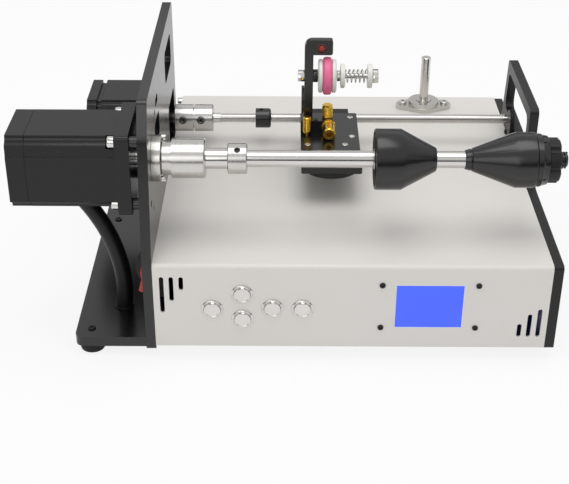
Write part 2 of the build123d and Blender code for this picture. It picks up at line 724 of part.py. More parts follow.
# ================= spindle =================
hub_end = HUB_X + HUB_L
hub = turned(
    [
        (-X_OUT + GAP, 0),
        (-X_OUT + GAP, SLEEVE_R),
        (HUB_X - HUB_STEP_L, SLEEVE_R),
        (HUB_X - HUB_STEP_L, HUB_STEP_R - 0.6),
        (HUB_X - HUB_STEP_L + 0.6, HUB_STEP_R),
        (HUB_X, HUB_STEP_R),
        (HUB_X, HUB_R),
        (hub_end - 1.0, HUB_R),
        (hub_end, HUB_R - 1.0),
        (hub_end, 0),
    ],
    SPINDLE_Y,
    SPZ,
)
hub -= xrod(MOTOR_SHAFT_R + FIT, -X_OUT - 5, HUB_X + HUB_DEPTH + 0.5, SPINDLE_Y, SPZ)
journal_x = HUB_X + HUB_DEPTH + 1.5
hub -= xrod(JOURNAL_R + FIT, journal_x, hub_end + 1, SPINDLE_Y, SPZ)
hub_hole = Pos(HUB_X + 7.0, SPINDLE_Y, SPZ) * Rot(HUB_HOLE_TILT, 0, 0) * Pos(0, 0, HUB_R / 2 + 0.5)
hub -= hub_hole * Cylinder(M4_R, HUB_R + 1)
keep("spindle_hub", hub)

shaft = turned(
    [
        (journal_x + 0.2, 0),
        (journal_x + 0.2, JOURNAL_R),
        (JOURNAL_END, JOURNAL_R),
        (JOURNAL_END, SHAFT_R),
        (SHAFT_END - 1.0, SHAFT_R),
        (SHAFT_END, SHAFT_R - 1.0),
        (SHAFT_END, 0),
    ],
    SPINDLE_Y,
    SPZ,
)
keep("spindle_shaft", shaft)

collar = turned(
    [
        (JOURNAL_END, SHAFT_R + FIT),
        (JOURNAL_END, COLLAR_R - 0.5),
        (JOURNAL_END + 0.5, COLLAR_R),
        (JOURNAL_END + COLLAR_L - 0.5, COLLAR_R),
        (JOURNAL_END + COLLAR_L, COLLAR_R - 0.5),
        (JOURNAL_END + COLLAR_L, SHAFT_R + FIT),
    ],
    SPINDLE_Y,
    SPZ,
)
set_hole = Pos(JOURNAL_END + COLLAR_L / 2, SPINDLE_Y, SPZ) * Rot(COLLAR_HOLE_TILT, 0, 0) * Pos(0, 0, COLLAR_R)
collar -= set_hole * Cylinder(COLLAR_HOLE_R, 2 * (COLLAR_R - SHAFT_R) - 1.0)
keep("spindle_collar", collar)

cone_end = CONE_X + CONE_L
left_cone = turned(
    [
        (CONE_X + CONE_DISH, SHAFT_R + FIT),
        (CONE_X + CONE_DISH, CONE_DISH_R),
        (CONE_X, CONE_DISH_R + 1.0),
        (CONE_X, CONE_R - 0.6),
        (CONE_X + 0.6, CONE_R),
        (CONE_X + CONE_RIM_L, CONE_R),
        (cone_end - 0.4, CONE_NOSE_R + 0.3),
        (cone_end, CONE_NOSE_R - 0.2),
        (cone_end, SHAFT_R + FIT),
    ],
    SPINDLE_Y,
    SPZ,
)
keep("left_cone", left_cone)

# ================= clamping cone and knob =================
taper_x = CLAMP_X + CLAMP_NOSE_L
clamp_end = CLAMP_X + CLAMP_L
right_cone = turned(
    [
        (CLAMP_X, SHAFT_R + RUN),
        (CLAMP_X, CLAMP_NOSE_R - 0.5),
        (taper_x - 0.8, CLAMP_NOSE_R + 0.6),
        (taper_x - 0.8, CLAMP_NOSE_R),
        (taper_x, CLAMP_NOSE_R),
        (taper_x, CLAMP_NOSE_R + 0.9),
        (taper_x + CLAMP_TAPER_L, CLAMP_R),
        (clamp_end - 0.5, CLAMP_R),
        (clamp_end, CLAMP_R - 0.5),
        (clamp_end, SHAFT_R + RUN),
    ],
    SPINDLE_Y,
    SPZ,
)
keep("clamp_cone", right_cone)

ring_x = clamp_end + GAP
ring_end = clamp_end + RING_L
ring = turned(
    [
        (ring_x, SHAFT_R + GAP),
        (ring_x, RING_R),
        (ring_x + 3.5, RING_R),
        (ring_x + 4.2, RING_R - 0.5),
        (ring_end - 0.5, RING_R - 1.4),
        (ring_end, RING_R - 2.2),
        (ring_end, SHAFT_R + GAP),
    ],
    SPINDLE_Y,
    SPZ,
)
for i in range(NOTCHES):
    turn = Pos(0, SPINDLE_Y, SPZ) * Rot(360.0 * i / NOTCHES + 22.5, 0, 0) * Pos(0, 0, RING_R)
    ring -= turn * (Pos(ring_end - 2.3, 0, 0) * Box(4.6, NOTCH, 2.6))
keep("ring_nut", ring)

knob_end = ring_end + KNOB_L
knob = xrod(KNOB_R, ring_end, knob_end, SPINDLE_Y, SPZ)
for i in range(KNOB_LOBES):
    angle = 2 * math.pi * (i + 0.5) / KNOB_LOBES
    y = SPINDLE_Y + (KNOB_R + LOBE_R * 0.45) * math.cos(angle)
    z = SPZ + (KNOB_R + LOBE_R * 0.45) * math.sin(angle)
    knob -= xrod(LOBE_R, ring_end - 1, knob_end + 1, y, z)
knob_edges = knob.edges().filter_by(lambda e: abs(e.center().X - knob_end) < 1e-3)
knob = chamfer(knob_edges, 0.8)
knob -= xrod(SHAFT_R + RUN, ring_end - 1, knob_end + 1, SPINDLE_Y, SPZ)
keep("clamp_knob", knob)

# ================= lead screw drive =================
window_front = DRIVE_WINDOW_Y - DRIVE_WINDOW_L / 2
window_back = DRIVE_WINDOW_Y + DRIVE_WINDOW_L / 2
bracket_front = window_front - DRIVE_LAP
bracket_back = SCREW_Y + DRIVE_SQ / 2 + DRIVE_LAP_BACK
drive_plate = block(DRIVE_FACE, -X_OUT, bracket_front, bracket_back, LSZ - DRIVE_SQ / 2, LSZ + DRIVE_SQ / 2)
drive_plate = chamfer(drive_plate.edges().filter_by(Axis.X), 1.5)
drive_plate -= xrod(PILOT_R, DRIVE_FACE - 1, -X_OUT + 1, SCREW_Y, LSZ)
drive_fix = [(y, LSZ + s * DRIVE_FIX_Z)
             for y in ((window_front + bracket_front) / 2, (window_back + bracket_back) / 2) for s in (-1, 1)]
# the bracket's screws are sunk, because the motor covers the rear pair
sunk_face = DRIVE_FACE + M3_HEAD_H + 0.1
for y, z in drive_fix:
    hole = xrod(M3_R + FIT, DRIVE_FACE - 1, -X_OUT + DRIVE_FIX_DEPTH + 0.3, y, z)
    drive_plate -= hole
    left_plate -= hole
    drive_plate -= xrod(M3_HEAD_R + 0.1, DRIVE_FACE - 1, sunk_face, y, z)
keep("drive_bracket", drive_plate)

drive = motor_section(DRIVE_SQ, DRIVE_FLUTE, DRIVE_END, DRIVE_FACE, SCREW_Y, LSZ)
seam_x = DRIVE_END
seam = motor_section(DRIVE_SQ - 4.0, DRIVE_FLUTE, seam_x - DRIVE_SEAM, seam_x, SCREW_Y, LSZ)
drive = drive + seam
drive -= xrod(DRIVE_BORE_R, DRIVE_END + 2, DRIVE_FACE - 3, SCREW_Y, LSZ)
drive -= xrod(DRIVE_SHAFT_R + RUN, DRIVE_FACE - 4, DRIVE_FACE + 1, SCREW_Y, LSZ)
drive_cap = motor_section(DRIVE_SQ, DRIVE_FLUTE, seam_x - DRIVE_SEAM - DRIVE_CAP_L, seam_x - DRIVE_SEAM,
                          SCREW_Y, LSZ)
keep("drive_motor", drive + drive_cap)

coupling_x = SCREW_X - COUPLING_L
coupling_mid = coupling_x + COUPLING_L / 2
drive_rotor = xrod(DRIVE_BORE_R - ROTOR_GAP, DRIVE_END + 4, DRIVE_FACE - 6, SCREW_Y, LSZ)
drive_rotor += xrod(DRIVE_SHAFT_R, DRIVE_FACE - 7, coupling_mid - 1.0, SCREW_Y, LSZ)
keep("drive_motor_rotor", drive_rotor)

coupling = turned(
    [
        (coupling_x, 0),
        (coupling_x, COUPLING_R - 0.6),
        (coupling_x + 0.6, COUPLING_R),
        (coupling_mid - COUPLING_SLIT / 2, COUPLING_R),
        (coupling_mid - COUPLING_SLIT / 2, COUPLING_R - 2.5),
        (coupling_mid + COUPLING_SLIT / 2, COUPLING_R - 2.5),
        (coupling_mid + COUPLING_SLIT / 2, COUPLING_R),
        (SCREW_X - 0.6, COUPLING_R),
        (SCREW_X, COUPLING_R - 0.6),
        (SCREW_X, 0),
    ],
    SCREW_Y,
    LSZ,
)
coupling -= xrod(DRIVE_SHAFT_R + FIT, coupling_x - 1, coupling_mid, SCREW_Y, LSZ)
coupling -= xrod(SCREW_R + FIT, coupling_mid, SCREW_X + 1, SCREW_Y, LSZ)
for x in (coupling_x + COUPLING_L * 0.22, coupling_x + COUPLING_L * 0.69):
    seat = Pos(x, SCREW_Y, LSZ) * Rot(SET_SCREW_TILT, 0, 0) * Pos(0, 0, COUPLING_R)
    coupling -= seat * Cylinder(SET_SCREW_R, 2 * SET_SCREW_SINK)
keep("shaft_coupling", coupling)

thread_x = SCREW_X + SCREW_PLAIN
screw_points = [(coupling_mid + 1.0, 0), (coupling_mid + 1.0, SCREW_R), (thread_x, SCREW_R)]
turns = int((SCREW_END - TIP_L - thread_x) / SCREW_PITCH)
for i in range(turns):
    x = thread_x + i * SCREW_PITCH
    screw_points += [
        (x + 0.30 * SCREW_PITCH, SCREW_R - THREAD_DEPTH),
        (x + 0.55 * SCREW_PITCH, SCREW_R - THREAD_DEPTH),
        (x + 0.85 * SCREW_PITCH, SCREW_R),
        (x + 1.00 * SCREW_PITCH, SCREW_R),
    ]
screw_points += [
    (SCREW_END - TIP_L, SCREW_R),
    (SCREW_END - TIP_L, TIP_R),
    (SCREW_END - 0.8, TIP_R),
    (SCREW_END, TIP_R - 0.8),
    (SCREW_END, 0),
]
keep("lead_screw", turned(screw_points, SCREW_Y, LSZ))

stop = turned(
    [
        (STOP_X, SCREW_R + FIT),
        (STOP_X, STOP_R),
        (STOP_X + STOP_L, STOP_R),
        (STOP_X + STOP_L, SCREW_R + FIT),
    ],
    SCREW_Y,
    LSZ,
)
stop_rims = stop.edges().filter_by(GeomType.CIRCLE).sort_by(lambda e: e.center().X * 100 + e.radius)
stop = fillet(stop_rims[-1], STOP_ROUND)
stop -= zrod(STOP_HOLE_R, LSZ + SCREW_R + 1.0, LSZ + STOP_R + 1, STOP_X + STOP_L * 0.36, SCREW_Y)
keep("stop_collar", stop)

# outboard bearing of the lead screw, bolted to the right plate below the grip opening
end_bearing = xrod(END_BEARING_R, X_IN - END_BEARING_T, X_IN, SCREW_Y, LSZ)
end_bearing += block(X_IN - END_BEARING_T, X_IN, SCREW_Y - END_BEARING_R, SCREW_Y + END_BEARING_R,
                     TOP + END_TAB_LOW, LSZ)
end_bearing += block(X_IN - END_BEARING_T, X_IN, SCREW_Y - END_TAB_W / 2, SCREW_Y + END_TAB_W / 2,
                     TOP + END_TAB_LOW, TOP + END_TAB_LOW + 7.5)
end_bearing -= xrod(TIP_R + RUN, X_IN - END_BEARING_T - 1, X_IN + 1, SCREW_Y, LSZ)
end_fix = [(SCREW_Y + s * (END_TAB_W / 2 - 3.4), TOP + END_TAB_LOW + 3.75) for s in (-1, 1)]
for y, z in end_fix:
    hole = xrod(M3_R + FIT, X_IN - END_BEARING_T - 1, X_IN + END_FIX_DEPTH + 0.3, y, z)
    end_bearing -= hole
    right_plate -= hole
keep("screw_end_bearing", end_bearing)

# ================= carriage =================
car_right = PLATE_X + CARRIAGE_W
car_plate = block(PLATE_X, car_right, CARRIAGE_FRONT, CARRIAGE_BACK, CAR_LOW, CAR_TOP)
car_plate = chamfer(car_plate.edges().filter_by(Axis.Z), 1.0)
keep("carriage_plate", car_plate)

nut_x1 = NUT_X + NUT_L
nut = block(NUT_X, nut_x1, NUT_FRONT, NUT_BACK, TOP + NUT_LOW, CAR_LOW)
nut += block(NUT_X, nut_x1, CARRIAGE_BACK + 0.5, NUT_BACK, CAR_LOW, LSZ + NUT_OVER)
nut_edges = nut.edges().filter_by(Axis.X).sort_by(lambda e: e.center().Z + e.center().Y)[-1]
nut = chamfer(nut_edges, 1.2)
nut -= xrod(SCREW_R + RUN, NUT_X - 1, nut_x1 + 1, SCREW_Y, LSZ)
keep("nut_block", nut)

shoe_y = CARRIAGE_FRONT + SHOE_R - 0.4
shoe_mid = (shoe_y + SHOE_FOOT_Y) / 2
shoe = zrod(SHOE_R, CAR_LOW - SHOE_T, CAR_LOW, CAR_MID, shoe_y)
shoe += zrod(SHOE_R, CAR_LOW - SHOE_T, CAR_LOW, CAR_MID, SHOE_FOOT_Y)
shoe += block(CAR_MID - SHOE_R, CAR_MID + SHOE_R, shoe_y, SHOE_FOOT_Y, CAR_LOW - SHOE_T, CAR_LOW)
shoe += zrod(SHOE_FOOT_R, TOP + GAP, CAR_LOW - SHOE_T, CAR_MID, SHOE_FOOT_Y)
keep("glide_shoe", shoe)

block_x1 = PLATE_X + CLAMP_BLOCK_W
clamp_back = CLAMP_BLOCK_FRONT + CLAMP_BLOCK_D
clamp_top = CAR_TOP + CLAMP_BLOCK_H
clamp_block = block(PLATE_X, block_x1, CLAMP_BLOCK_FRONT, clamp_back, CAR_TOP, clamp_top)
clamp_block = chamfer(clamp_block.edges().filter_by(Axis.Z), 0.6)
nozzle_z = TOP + NOZZLE_Z
clamp_block -= yrod(NOZZLE_TAIL_R + FIT, CLAMP_BLOCK_FRONT - 1, clamp_back + 1, NOZZLE_X, nozzle_z)
clamp_block -= zrod(PINCH_PIN_R + RUN, nozzle_z, clamp_top + 1, NOZZLE_X - 1.0, BAR_Y)
clamp_block -= block(BAR_X - FIT, BAR_RIGHT + FIT, BAR_Y - BAR_D / 2 - FIT, BAR_Y + BAR_D / 2 + FIT,
                     CAR_TOP + 2.0, clamp_top + 1)
keep("guide_block", clamp_block)

bar_top = TOP + BAR_TOP
bracket = block(BAR_X, BAR_RIGHT, BAR_Y - BAR_D / 2, BAR_Y + BAR_D / 2, CAR_TOP + 2.0, bar_top)
bracket += block(BAR_X, BAR_X + ARM_L, BAR_Y - BAR_D / 2, BAR_Y + BAR_D / 2, bar_top - ARM_H, bar_top)
outer_corner = bracket.edges().filter_by(Axis.Y).sort_by(lambda e: e.center().Z - e.center().X)[-1]
bracket = fillet(outer_corner, BAR_CORNER_R)
arm_corners = bracket.edges().filter_by(Axis.Y).filter_by(
    lambda e: abs(e.center().X - (BAR_X + ARM_L)) < 1e-3)
bracket = fillet(arm_corners, 1.8)
bracket -= xrod(AXLE_R + FIT, BAR_X - 1, BAR_RIGHT + 1, BAR_Y, AXZ)
bracket -= yrod(3.6, BAR_Y - BAR_D / 2 - 1, BAR_Y - BAR_D / 2 + 1.2, RED_SCREW_X, TOP + RED_SCREW_Z)
keep("guide_bracket", bracket)

front = CLAMP_BLOCK_FRONT
nozzle = yrod(NOZZLE_RIM_R, front - NOZZLE_RIM_L, front, NOZZLE_X, nozzle_z)
nozzle += yrod(NOZZLE_R, front - NOZZLE_RIM_L - NOZZLE_L, front - NOZZLE_RIM_L, NOZZLE_X, nozzle_z)
nozzle += yrod(NOZZLE_TAIL_R, front, clamp_back + 2.0, NOZZLE_X, nozzle_z)
nozzle = chamfer(nozzle.edges().filter_by(GeomType.CIRCLE).sort_by(Axis.Y)[0], 0.8)
nozzle -= yrod(NOZZLE_BORE_R, front - NOZZLE_RIM_L - NOZZLE_L - 1, front - 4, NOZZLE_X, nozzle_z)
nozzle -= yrod(1.2, front - 5, clamp_back + 3, NOZZLE_X, nozzle_z)
keep("wire_nozzle", nozzle)

pinch = zrod(PINCH_R, clamp_top + GAP, clamp_top + PINCH_H, NOZZLE_X - 1.0, BAR_Y)
pinch = fillet(pinch.edges().filter_by(GeomType.CIRCLE).sort_by(Axis.Z)[-1], 1.6)
pinch += zrod(PINCH_PIN_R, nozzle_z + NOZZLE_TAIL_R + 0.3, clamp_top + GAP, NOZZLE_X - 1.0, BAR_Y)
keep("pinch_screw", pinch)

thumb = zrod(THUMB_R, CAR_TOP + THUMB_LIFT, CAR_TOP + THUMB_LIFT + THUMB_H, THUMB_X, THUMB_Y)
thumb = fillet(thumb.edges().filter_by(GeomType.CIRCLE).sort_by(Axis.Z)[-1], 0.8)
thumb += zrod(THUMB_PIN_R, CAR_LOW + 1.0, CAR_TOP + THUMB_LIFT, THUMB_X, THUMB_Y)
PARTS["carriage_plate"] -= zrod(THUMB_PIN_R + RUN, CAR_LOW + 0.8, CAR_TOP + 1, THUMB_X, THUMB_Y)
keep("thumb_screw", thumb)

# ---- tension unit ----
axle = xrod(AXLE_R, AXLE_LEFT + 1, AXLE_END, BAR_Y, AXZ)
hexagon = extrude(Plane.YZ.offset(AXLE_LEFT) * (Pos(BAR_Y, AXZ) * RegularPolygon(HEX_R, 6)),
                  amount=BAR_X - AXLE_LEFT)
axle += hexagon
axle += xrod(SPACER_R, BAR_RIGHT, BAR_RIGHT + SPACER_L, BAR_Y, AXZ)
axle += xrod(HEX_R - 0.4, SEAT_X - 2.6, SEAT_X, BAR_Y, AXZ)
axle += xrod(SEAT_R, SEAT_X, SEAT_X + SEAT_T, BAR_Y, AXZ)
keep("tension_axle", axle)

wheel_x = BAR_RIGHT + SPACER_L + GAP
side_w = (WHEEL_W - TYRE_W) / 2
wheel = turned(
    [
        (wheel_x, AXLE_R + RUN),
        (wheel_x, WHEEL_R - 1.0),
        (wheel_x + 1.0, WHEEL_R),
        (wheel_x + side_w - 0.6, WHEEL_R),
        (wheel_x + side_w, GROOVE_R),
        (wheel_x + side_w + TYRE_W, GROOVE_R),
        (wheel_x + side_w + TYRE_W + 0.6, WHEEL_R),
        (wheel_x + WHEEL_W - 1.0, WHEEL_R),
        (wheel_x + WHEEL_W, WHEEL_R - 1.0),
        (wheel_x + WHEEL_W, AXLE_R + RUN),
    ],
    BAR_Y,
    AXZ,
)
keep("guide_wheel", wheel)
tyre_x = wheel_x + side_w + 0.1
tyre = turned(
    [
        (tyre_x, GROOVE_R + FIT),
        (tyre_x, TYRE_R - 1.2),
        (tyre_x + 1.2, TYRE_R),
        (tyre_x + TYRE_W - 1.4, TYRE_R),
        (tyre_x + TYRE_W - 0.2, TYRE_R - 1.2),
        (tyre_x + TYRE_W - 0.2, GROOVE_R + FIT),
    ],
    BAR_Y,
    AXZ,
)
keep("wheel_tyre", tyre)

disc = xrod(SEAT_R, DISC_X, DISC_X + DISC_T, BAR_Y, AXZ)
disc -= xrod(AXLE_R + RUN, DISC_X - 1, DISC_X + DISC_T + 1, BAR_Y, AXZ)
keep("tension_disc", disc)
spring_x0 = SEAT_X + SEAT_T + SPRING_WIRE / 2 + 0.05
spring_x1 = DISC_X - SPRING_WIRE / 2 - 0.05
spring_path = Helix(pitch=(spring_x1 - spring_x0) / SPRING_COILS, height=spring_x1 - spring_x0,
                    radius=SPRING_R)
spring_plane = Plane(origin=spring_path @ 0, z_dir=spring_path % 0)
spring = sweep(spring_plane * Circle(SPRING_WIRE / 2), path=spring_path, is_frenet=True)
spring = Pos(spring_x0, BAR_Y, AXZ) * Rot(0, 90, 0) * spring
keep("tension_spring", spring)
thumb_nut = extrude(Plane.YZ.offset(DISC_X + DISC_T + GAP) * (Pos(BAR_Y, AXZ) * RegularPolygon(NUT_R, 6)),
                    amount=NUT_T)
thumb_nut -= xrod(AXLE_R + RUN, DISC_X, DISC_X + DISC_T + NUT_T + 2, BAR_Y, AXZ)
keep("tension_nut", thumb_nut)

# ================= spool post =================
base_face = Pos(POST_X, POST_Y) * make_hull(
    (Circle(POST_BASE_W / 2).edges()
     + (Pos(-POST_SCREWS / 2, 0) * Circle((POST_BASE_L - POST_SCREWS) / 2)).edges()
     + (Pos(POST_SCREWS / 2, 0) * Circle((POST_BASE_L - POST_SCREWS) / 2)).edges()))
post_base = Pos(0, 0, TOP) * extrude(base_face, amount=POST_BASE_T)
post_base += zrod(POST_BOSS_R, TOP, TOP + POST_BOSS_H, POST_X, POST_Y)
post_base -= zrod(POST_RING_R + RUN, TOP + 1.0, TOP + POST_BOSS_H + 1, POST_X, POST_Y)
for x, y in post_screws:
    post_base -= zrod(M4_R + FIT, TOP - 1, TOP + POST_BASE_T + 1, x, y)
keep("post_bearing", post_base)
post = zrod(POST_R, TOP + 1.0 + GAP, TOP + POST_TOP, POST_X, POST_Y)
post = chamfer(post.edges().filter_by(GeomType.CIRCLE).sort_by(Axis.Z)[-1], 0.6)
post += zrod(POST_RING_R, TOP + 1.0 + GAP, TOP + POST_BOSS_H + 1.0, POST_X, POST_Y)
keep("spool_post", post)

# ================= front panel =================
rims = None
for i, (x, z) in enumerate(BUTTONS):
    cz = TOP + z
    rim = yrod(BUTTON_RIM_R, -BUTTON_RIM_T, 0, x, cz)
    rim = chamfer(rim.edges().filter_by(GeomType.CIRCLE).sort_by(Axis.Y)[0], 0.5)
    rim += yrod(BUTTON_BODY_R, 0, BUTTON_BODY_L, x, cz)
    rim -= yrod(BUTTON_CAP_R + RUN, -BUTTON_RIM_T - 1, BUTTON_CAP_L + BUTTON_TRAVEL + 8, x, cz)
    rims = rim if rims is None else rims + rim
    cap_y = -BUTTON_RIM_T - BUTTON_PROUD
    button = yrod(BUTTON_CAP_R, cap_y, cap_y + BUTTON_CAP_L, x, cz)
    button = chamfer(button.edges().filter_by(GeomType.CIRCLE).sort_by(Axis.Y)[0], 0.4)
    keep(f"push_button_{i + 1}", button)
keep("button_sleeves", rims)

lcd = block(WINDOW_LCD_X - LCD_W / 2 + 0.1, WINDOW_LCD_X + LCD_W / 2 - 0.1, 0.2, SHEET,
            lcd_z - LCD_H / 2 + 0.1, lcd_z + LCD_H / 2 - 0.1)
lcd += block(WINDOW_LCD_X - LCD_W / 2 - 4, WINDOW_LCD_X + LCD_W / 2 + 4, SHEET, LCD_DEPTH,
             lcd_z - LCD_H / 2 - 2, lcd_z + LCD_H / 2 + 2)
lcd += block(WINDOW_LCD_X - LCD_BOARD_W / 2, WINDOW_LCD_X + LCD_BOARD_W / 2, LCD_DEPTH, LCD_DEPTH + 1.6,
             lcd_z - LCD_BOARD_H / 2, lcd_z + LCD_BOARD_H / 2)
for x, z in lcd_screws:
    post_lcd = yrod(3.0, SHEET, LCD_DEPTH, x, z)
    lcd += post_lcd
for x, z in lcd_screws:
    lcd -= yrod(M3_R + FIT, SHEET - 1, LCD_DEPTH + 3, x, z)
keep("display_module", lcd)

# ================= power rocker =================
rz = TOP + ROCKER_Z
rim_z = TOP + ROCKER_RIM_Z
rim_face = RectangleRounded(ROCKER_RIM_W, ROCKER_RIM_H, 5.0)
housing_sw = extrude(Plane.YZ.offset(-X_OUT - ROCKER_RIM_T) * (Pos(ROCKER_Y, rim_z) * rim_face),
                     amount=ROCKER_RIM_T)
guard_half = ROCKER_RIM_H / 2
guard_r = (guard_half**2 + GUARD_RISE**2) / (2 * GUARD_RISE)
guard_y = ROCKER_Y + ROCKER_RIM_W / 2
guard = yrod(guard_r, guard_y - GUARD_T, guard_y, -X_OUT - GUARD_RISE + guard_r, rim_z)
guard -= block(-X_OUT, -X_OUT + 2 * guard_r, guard_y - 5, guard_y + 1,
               rim_z - guard_r - 1, rim_z + guard_r + 1)
housing_sw += guard
housing_sw += block(-X_OUT, -X_OUT + ROCKER_BACK,
                    ROCKER_Y - ROCKER_W / 2 - 1.4, ROCKER_Y + ROCKER_W / 2 + 1.4,
                    rz - ROCKER_H / 2 - 1.4, rz + ROCKER_H / 2 + 1.4)
housing_sw -= block(-X_OUT - ROCKER_RIM_T - 1, -X_OUT + ROCKER_BACK - 3, ROCKER_Y - ROCKER_W / 2 - 0.15,
                    ROCKER_Y + ROCKER_W / 2 + 0.15, rz - ROCKER_H / 2 - 0.4, rz + ROCKER_H / 2 + 0.4)
PIVOT_X = -X_OUT + ROCKER_SINK
pin_y = ROCKER_W / 2 + ROCKER_PIN_L
housing_sw -= yrod(ROCKER_PIN_R + RUN, ROCKER_Y - pin_y - 0.1, ROCKER_Y + pin_y + 0.1, PIVOT_X, rz)
keep("switch_housing", housing_sw)
half = ROCKER_H / 2
rocker_points = [
    (PIVOT_X - ROCKER_RISE, -half * 0.80),
    (PIVOT_X - ROCKER_RISE + 1.6, -2.0),
    (PIVOT_X - ROCKER_RISE + 1.6, 2.0),
    (PIVOT_X - ROCKER_RISE, half * 0.80),
    (PIVOT_X - ROCKER_RISE + 2.2, half * 0.93),
    (PIVOT_X + ROCKER_DROP, 4.0),
    (PIVOT_X + ROCKER_DROP, -4.0),
    (PIVOT_X - ROCKER_RISE + 2.2, -half * 0.93),
]
rocker_face = make_face(Polyline(*rocker_points, close=True))
rocker_plane = Plane(origin=(0, ROCKER_Y + ROCKER_W / 2, 0), x_dir=(1, 0, 0), z_dir=(0, -1, 0))
rocker = extrude(rocker_plane * rocker_face, amount=ROCKER_W)
rocker = Pos(PIVOT_X, 0, rz) * Rot(0, ROCKER_TILT, 0) * Pos(-PIVOT_X, 0, 0) * rocker
rocker += yrod(ROCKER_PIN_R, ROCKER_Y - pin_y, ROCKER_Y + pin_y, PIVOT_X, rz)
keep("power_rocker", rocker)

# ================= motor cable =================
cable_z0 = SPZ - MOTOR_BODY_SQ / 2 - GLAND_H  # under the upper gland
cable_z1 = SHELF_TOP + LIP_H  # above the ring on the shelf
dx = CABLE_FOOT_X - CABLE_TOP_X
dz = cable_z1 - cable_z0
chord = math.hypot(dx, dz)
CABLE_RADIUS = chord / 2 / math.sin(math.radians(CABLE_BEND / 2))
heading = math.degrees(math.atan2(dz, dx)) + CABLE_BEND / 2
start_dir = (math.cos(math.radians(heading)), math.sin(math.radians(heading)))
cable_plane = Plane(origin=(0, CABLE_Y, 0), x_dir=(1, 0, 0), z_dir=(0, -1, 0))
cable_arc = JernArc(start=(CABLE_TOP_X, cable_z0), tangent=start_dir, radius=CABLE_RADIUS,
                    arc_size=-CABLE_BEND)
cable_path = cable_plane * cable_arc
cable = sweep(Plane(origin=cable_path @ 0, z_dir=cable_path % 0) * Circle(CABLE_R), path=cable_path)
# trimmed flat to the glands
cable -= block(CABLE_TOP_X - 30, CABLE_TOP_X + 30, CABLE_Y - 20, CABLE_Y + 20, cable_z0, cable_z0 + 20)
cable -= block(CABLE_FOOT_X - 30, CABLE_FOOT_X + 30, CABLE_Y - 20, CABLE_Y + 20, cable_z1 - 20, cable_z1)
keep("motor_cable", cable)
print("cable radius", round(CABLE_RADIUS, 1))
gland = zrod(GLAND_R, cable_z0, cable_z0 + GLAND_H, CABLE_TOP_X, CABLE_Y)
gland += zrod(LIP_R, SHELF_TOP, cable_z1, CABLE_FOOT_X, CABLE_Y)
keep("cable_glands", gland)

# ================= electronics =================
board_x = 0.0
board_back = BOARD_FRONT + BOARD_D
supply_x1 = X_IN - SHEET - SUPPLY_SIDE
supply_y1 = CASE_D - SHEET - INSIDE_GAP
supply = block(supply_x1 - SUPPLY_W, supply_x1, board_back + INSIDE_GAP, supply_y1,
               TRAY_TOP, TRAY_TOP + SUPPLY_H)
supply = chamfer(supply.edges().filter_by(Axis.Y), 1.0)
keep("power_supply", supply)
driver_x = -X_IN + SHEET + DRIVER_SIDE
driver_room = CASE_D - INLET_DEPTH - 2 * INSIDE_GAP - DRIVER_FRONT
driver_d = (driver_room - DRIVER_GAP) / 2
driver_top = TRAY_TOP + DRIVER_H
drivers = None
for y in (DRIVER_FRONT, DRIVER_FRONT + driver_d + DRIVER_GAP):
    fin = block(driver_x, driver_x + DRIVER_W, y, y + driver_d, TRAY_TOP, driver_top)
    for i in range(FINS):
        g = driver_x + BOARD_EDGE + i * FIN_PITCH
        fin -= block(g, g + FIN_GAP, y - 1, y + driver_d + 1, driver_top - FIN_DEPTH, driver_top + 1)
    drivers = fin if drivers is None else drivers + fin
keep("motor_drivers", drivers)
board_low = TRAY_TOP + BOARD_LIFT
board_top = board_low + BOARD_T
board = block(board_x, board_x + BOARD_W, BOARD_FRONT, board_back, board_low, board_top)
for x in (board_x + BOARD_EDGE, board_x + BOARD_W - BOARD_EDGE):
    for y in (BOARD_FRONT + BOARD_EDGE, board_back - BOARD_EDGE):
        board += zrod(PILLAR_R, TRAY_TOP, board_low, x, y)
chip_x = board_x + (BOARD_W - CHIP) / 2
chip_y = BOARD_FRONT + (BOARD_D - CHIP) / 2
board += block(chip_x, chip_x + CHIP, chip_y, chip_y + CHIP, board_top, board_top + CHIP_H)
terminal_y = BOARD_FRONT + (BOARD_D - TERMINAL_L) / 2
board += block(board_x + 4, board_x + 4 + TERMINAL_W, terminal_y, terminal_y + TERMINAL_L,
               board_top, board_top + TERMINAL_H)
relay_x = board_x + BOARD_W - BOARD_EDGE - RELAY_W
board += block(relay_x, relay_x + RELAY_W, board_back - 4 - RELAY_D, board_back - 4,
               board_top, board_top + RELAY_H)
keep("control_board", board)

# ================= feet =================
shelf_foot_x = SHELF_LEFT + FOOT_INSET
feet = None
foot_places = [(shelf_foot_x, SHELF_FRONT + FOOT_INSET, SHELF_Z), (shelf_foot_x, FOOT_BACK, SHELF_Z)]
for x, y in ((CASE_FOOT_X, CASE_FOOT_Y), (CASE_FOOT_X, CASE_D - CASE_FOOT_Y),
             (-CASE_FOOT_X, CASE_D - CASE_FOOT_Y)):
    foot_places.append((x, y, TRAY_Z))
for x, y, high in foot_places:
    one = zrod(FOOT_R, 0, high, x, y)
    one = chamfer(one.edges().filter_by(GeomType.CIRCLE).sort_by(Axis.Z)[0], 0.8)
    feet = one if feet is None else feet + one
shelf_foot_screws = [(x, y) for x, y, high in foot_places if x == shelf_foot_x]
for x, y in shelf_foot_screws:
    hole = zrod(M4_R + FIT, SHELF_Z - FOOT_SCREW_L - 0.3, SHELF_TOP + 1, x, y)
    feet -= hole
    PARTS["motor_shelf"] -= hole
keep("rubber_feet", feet)

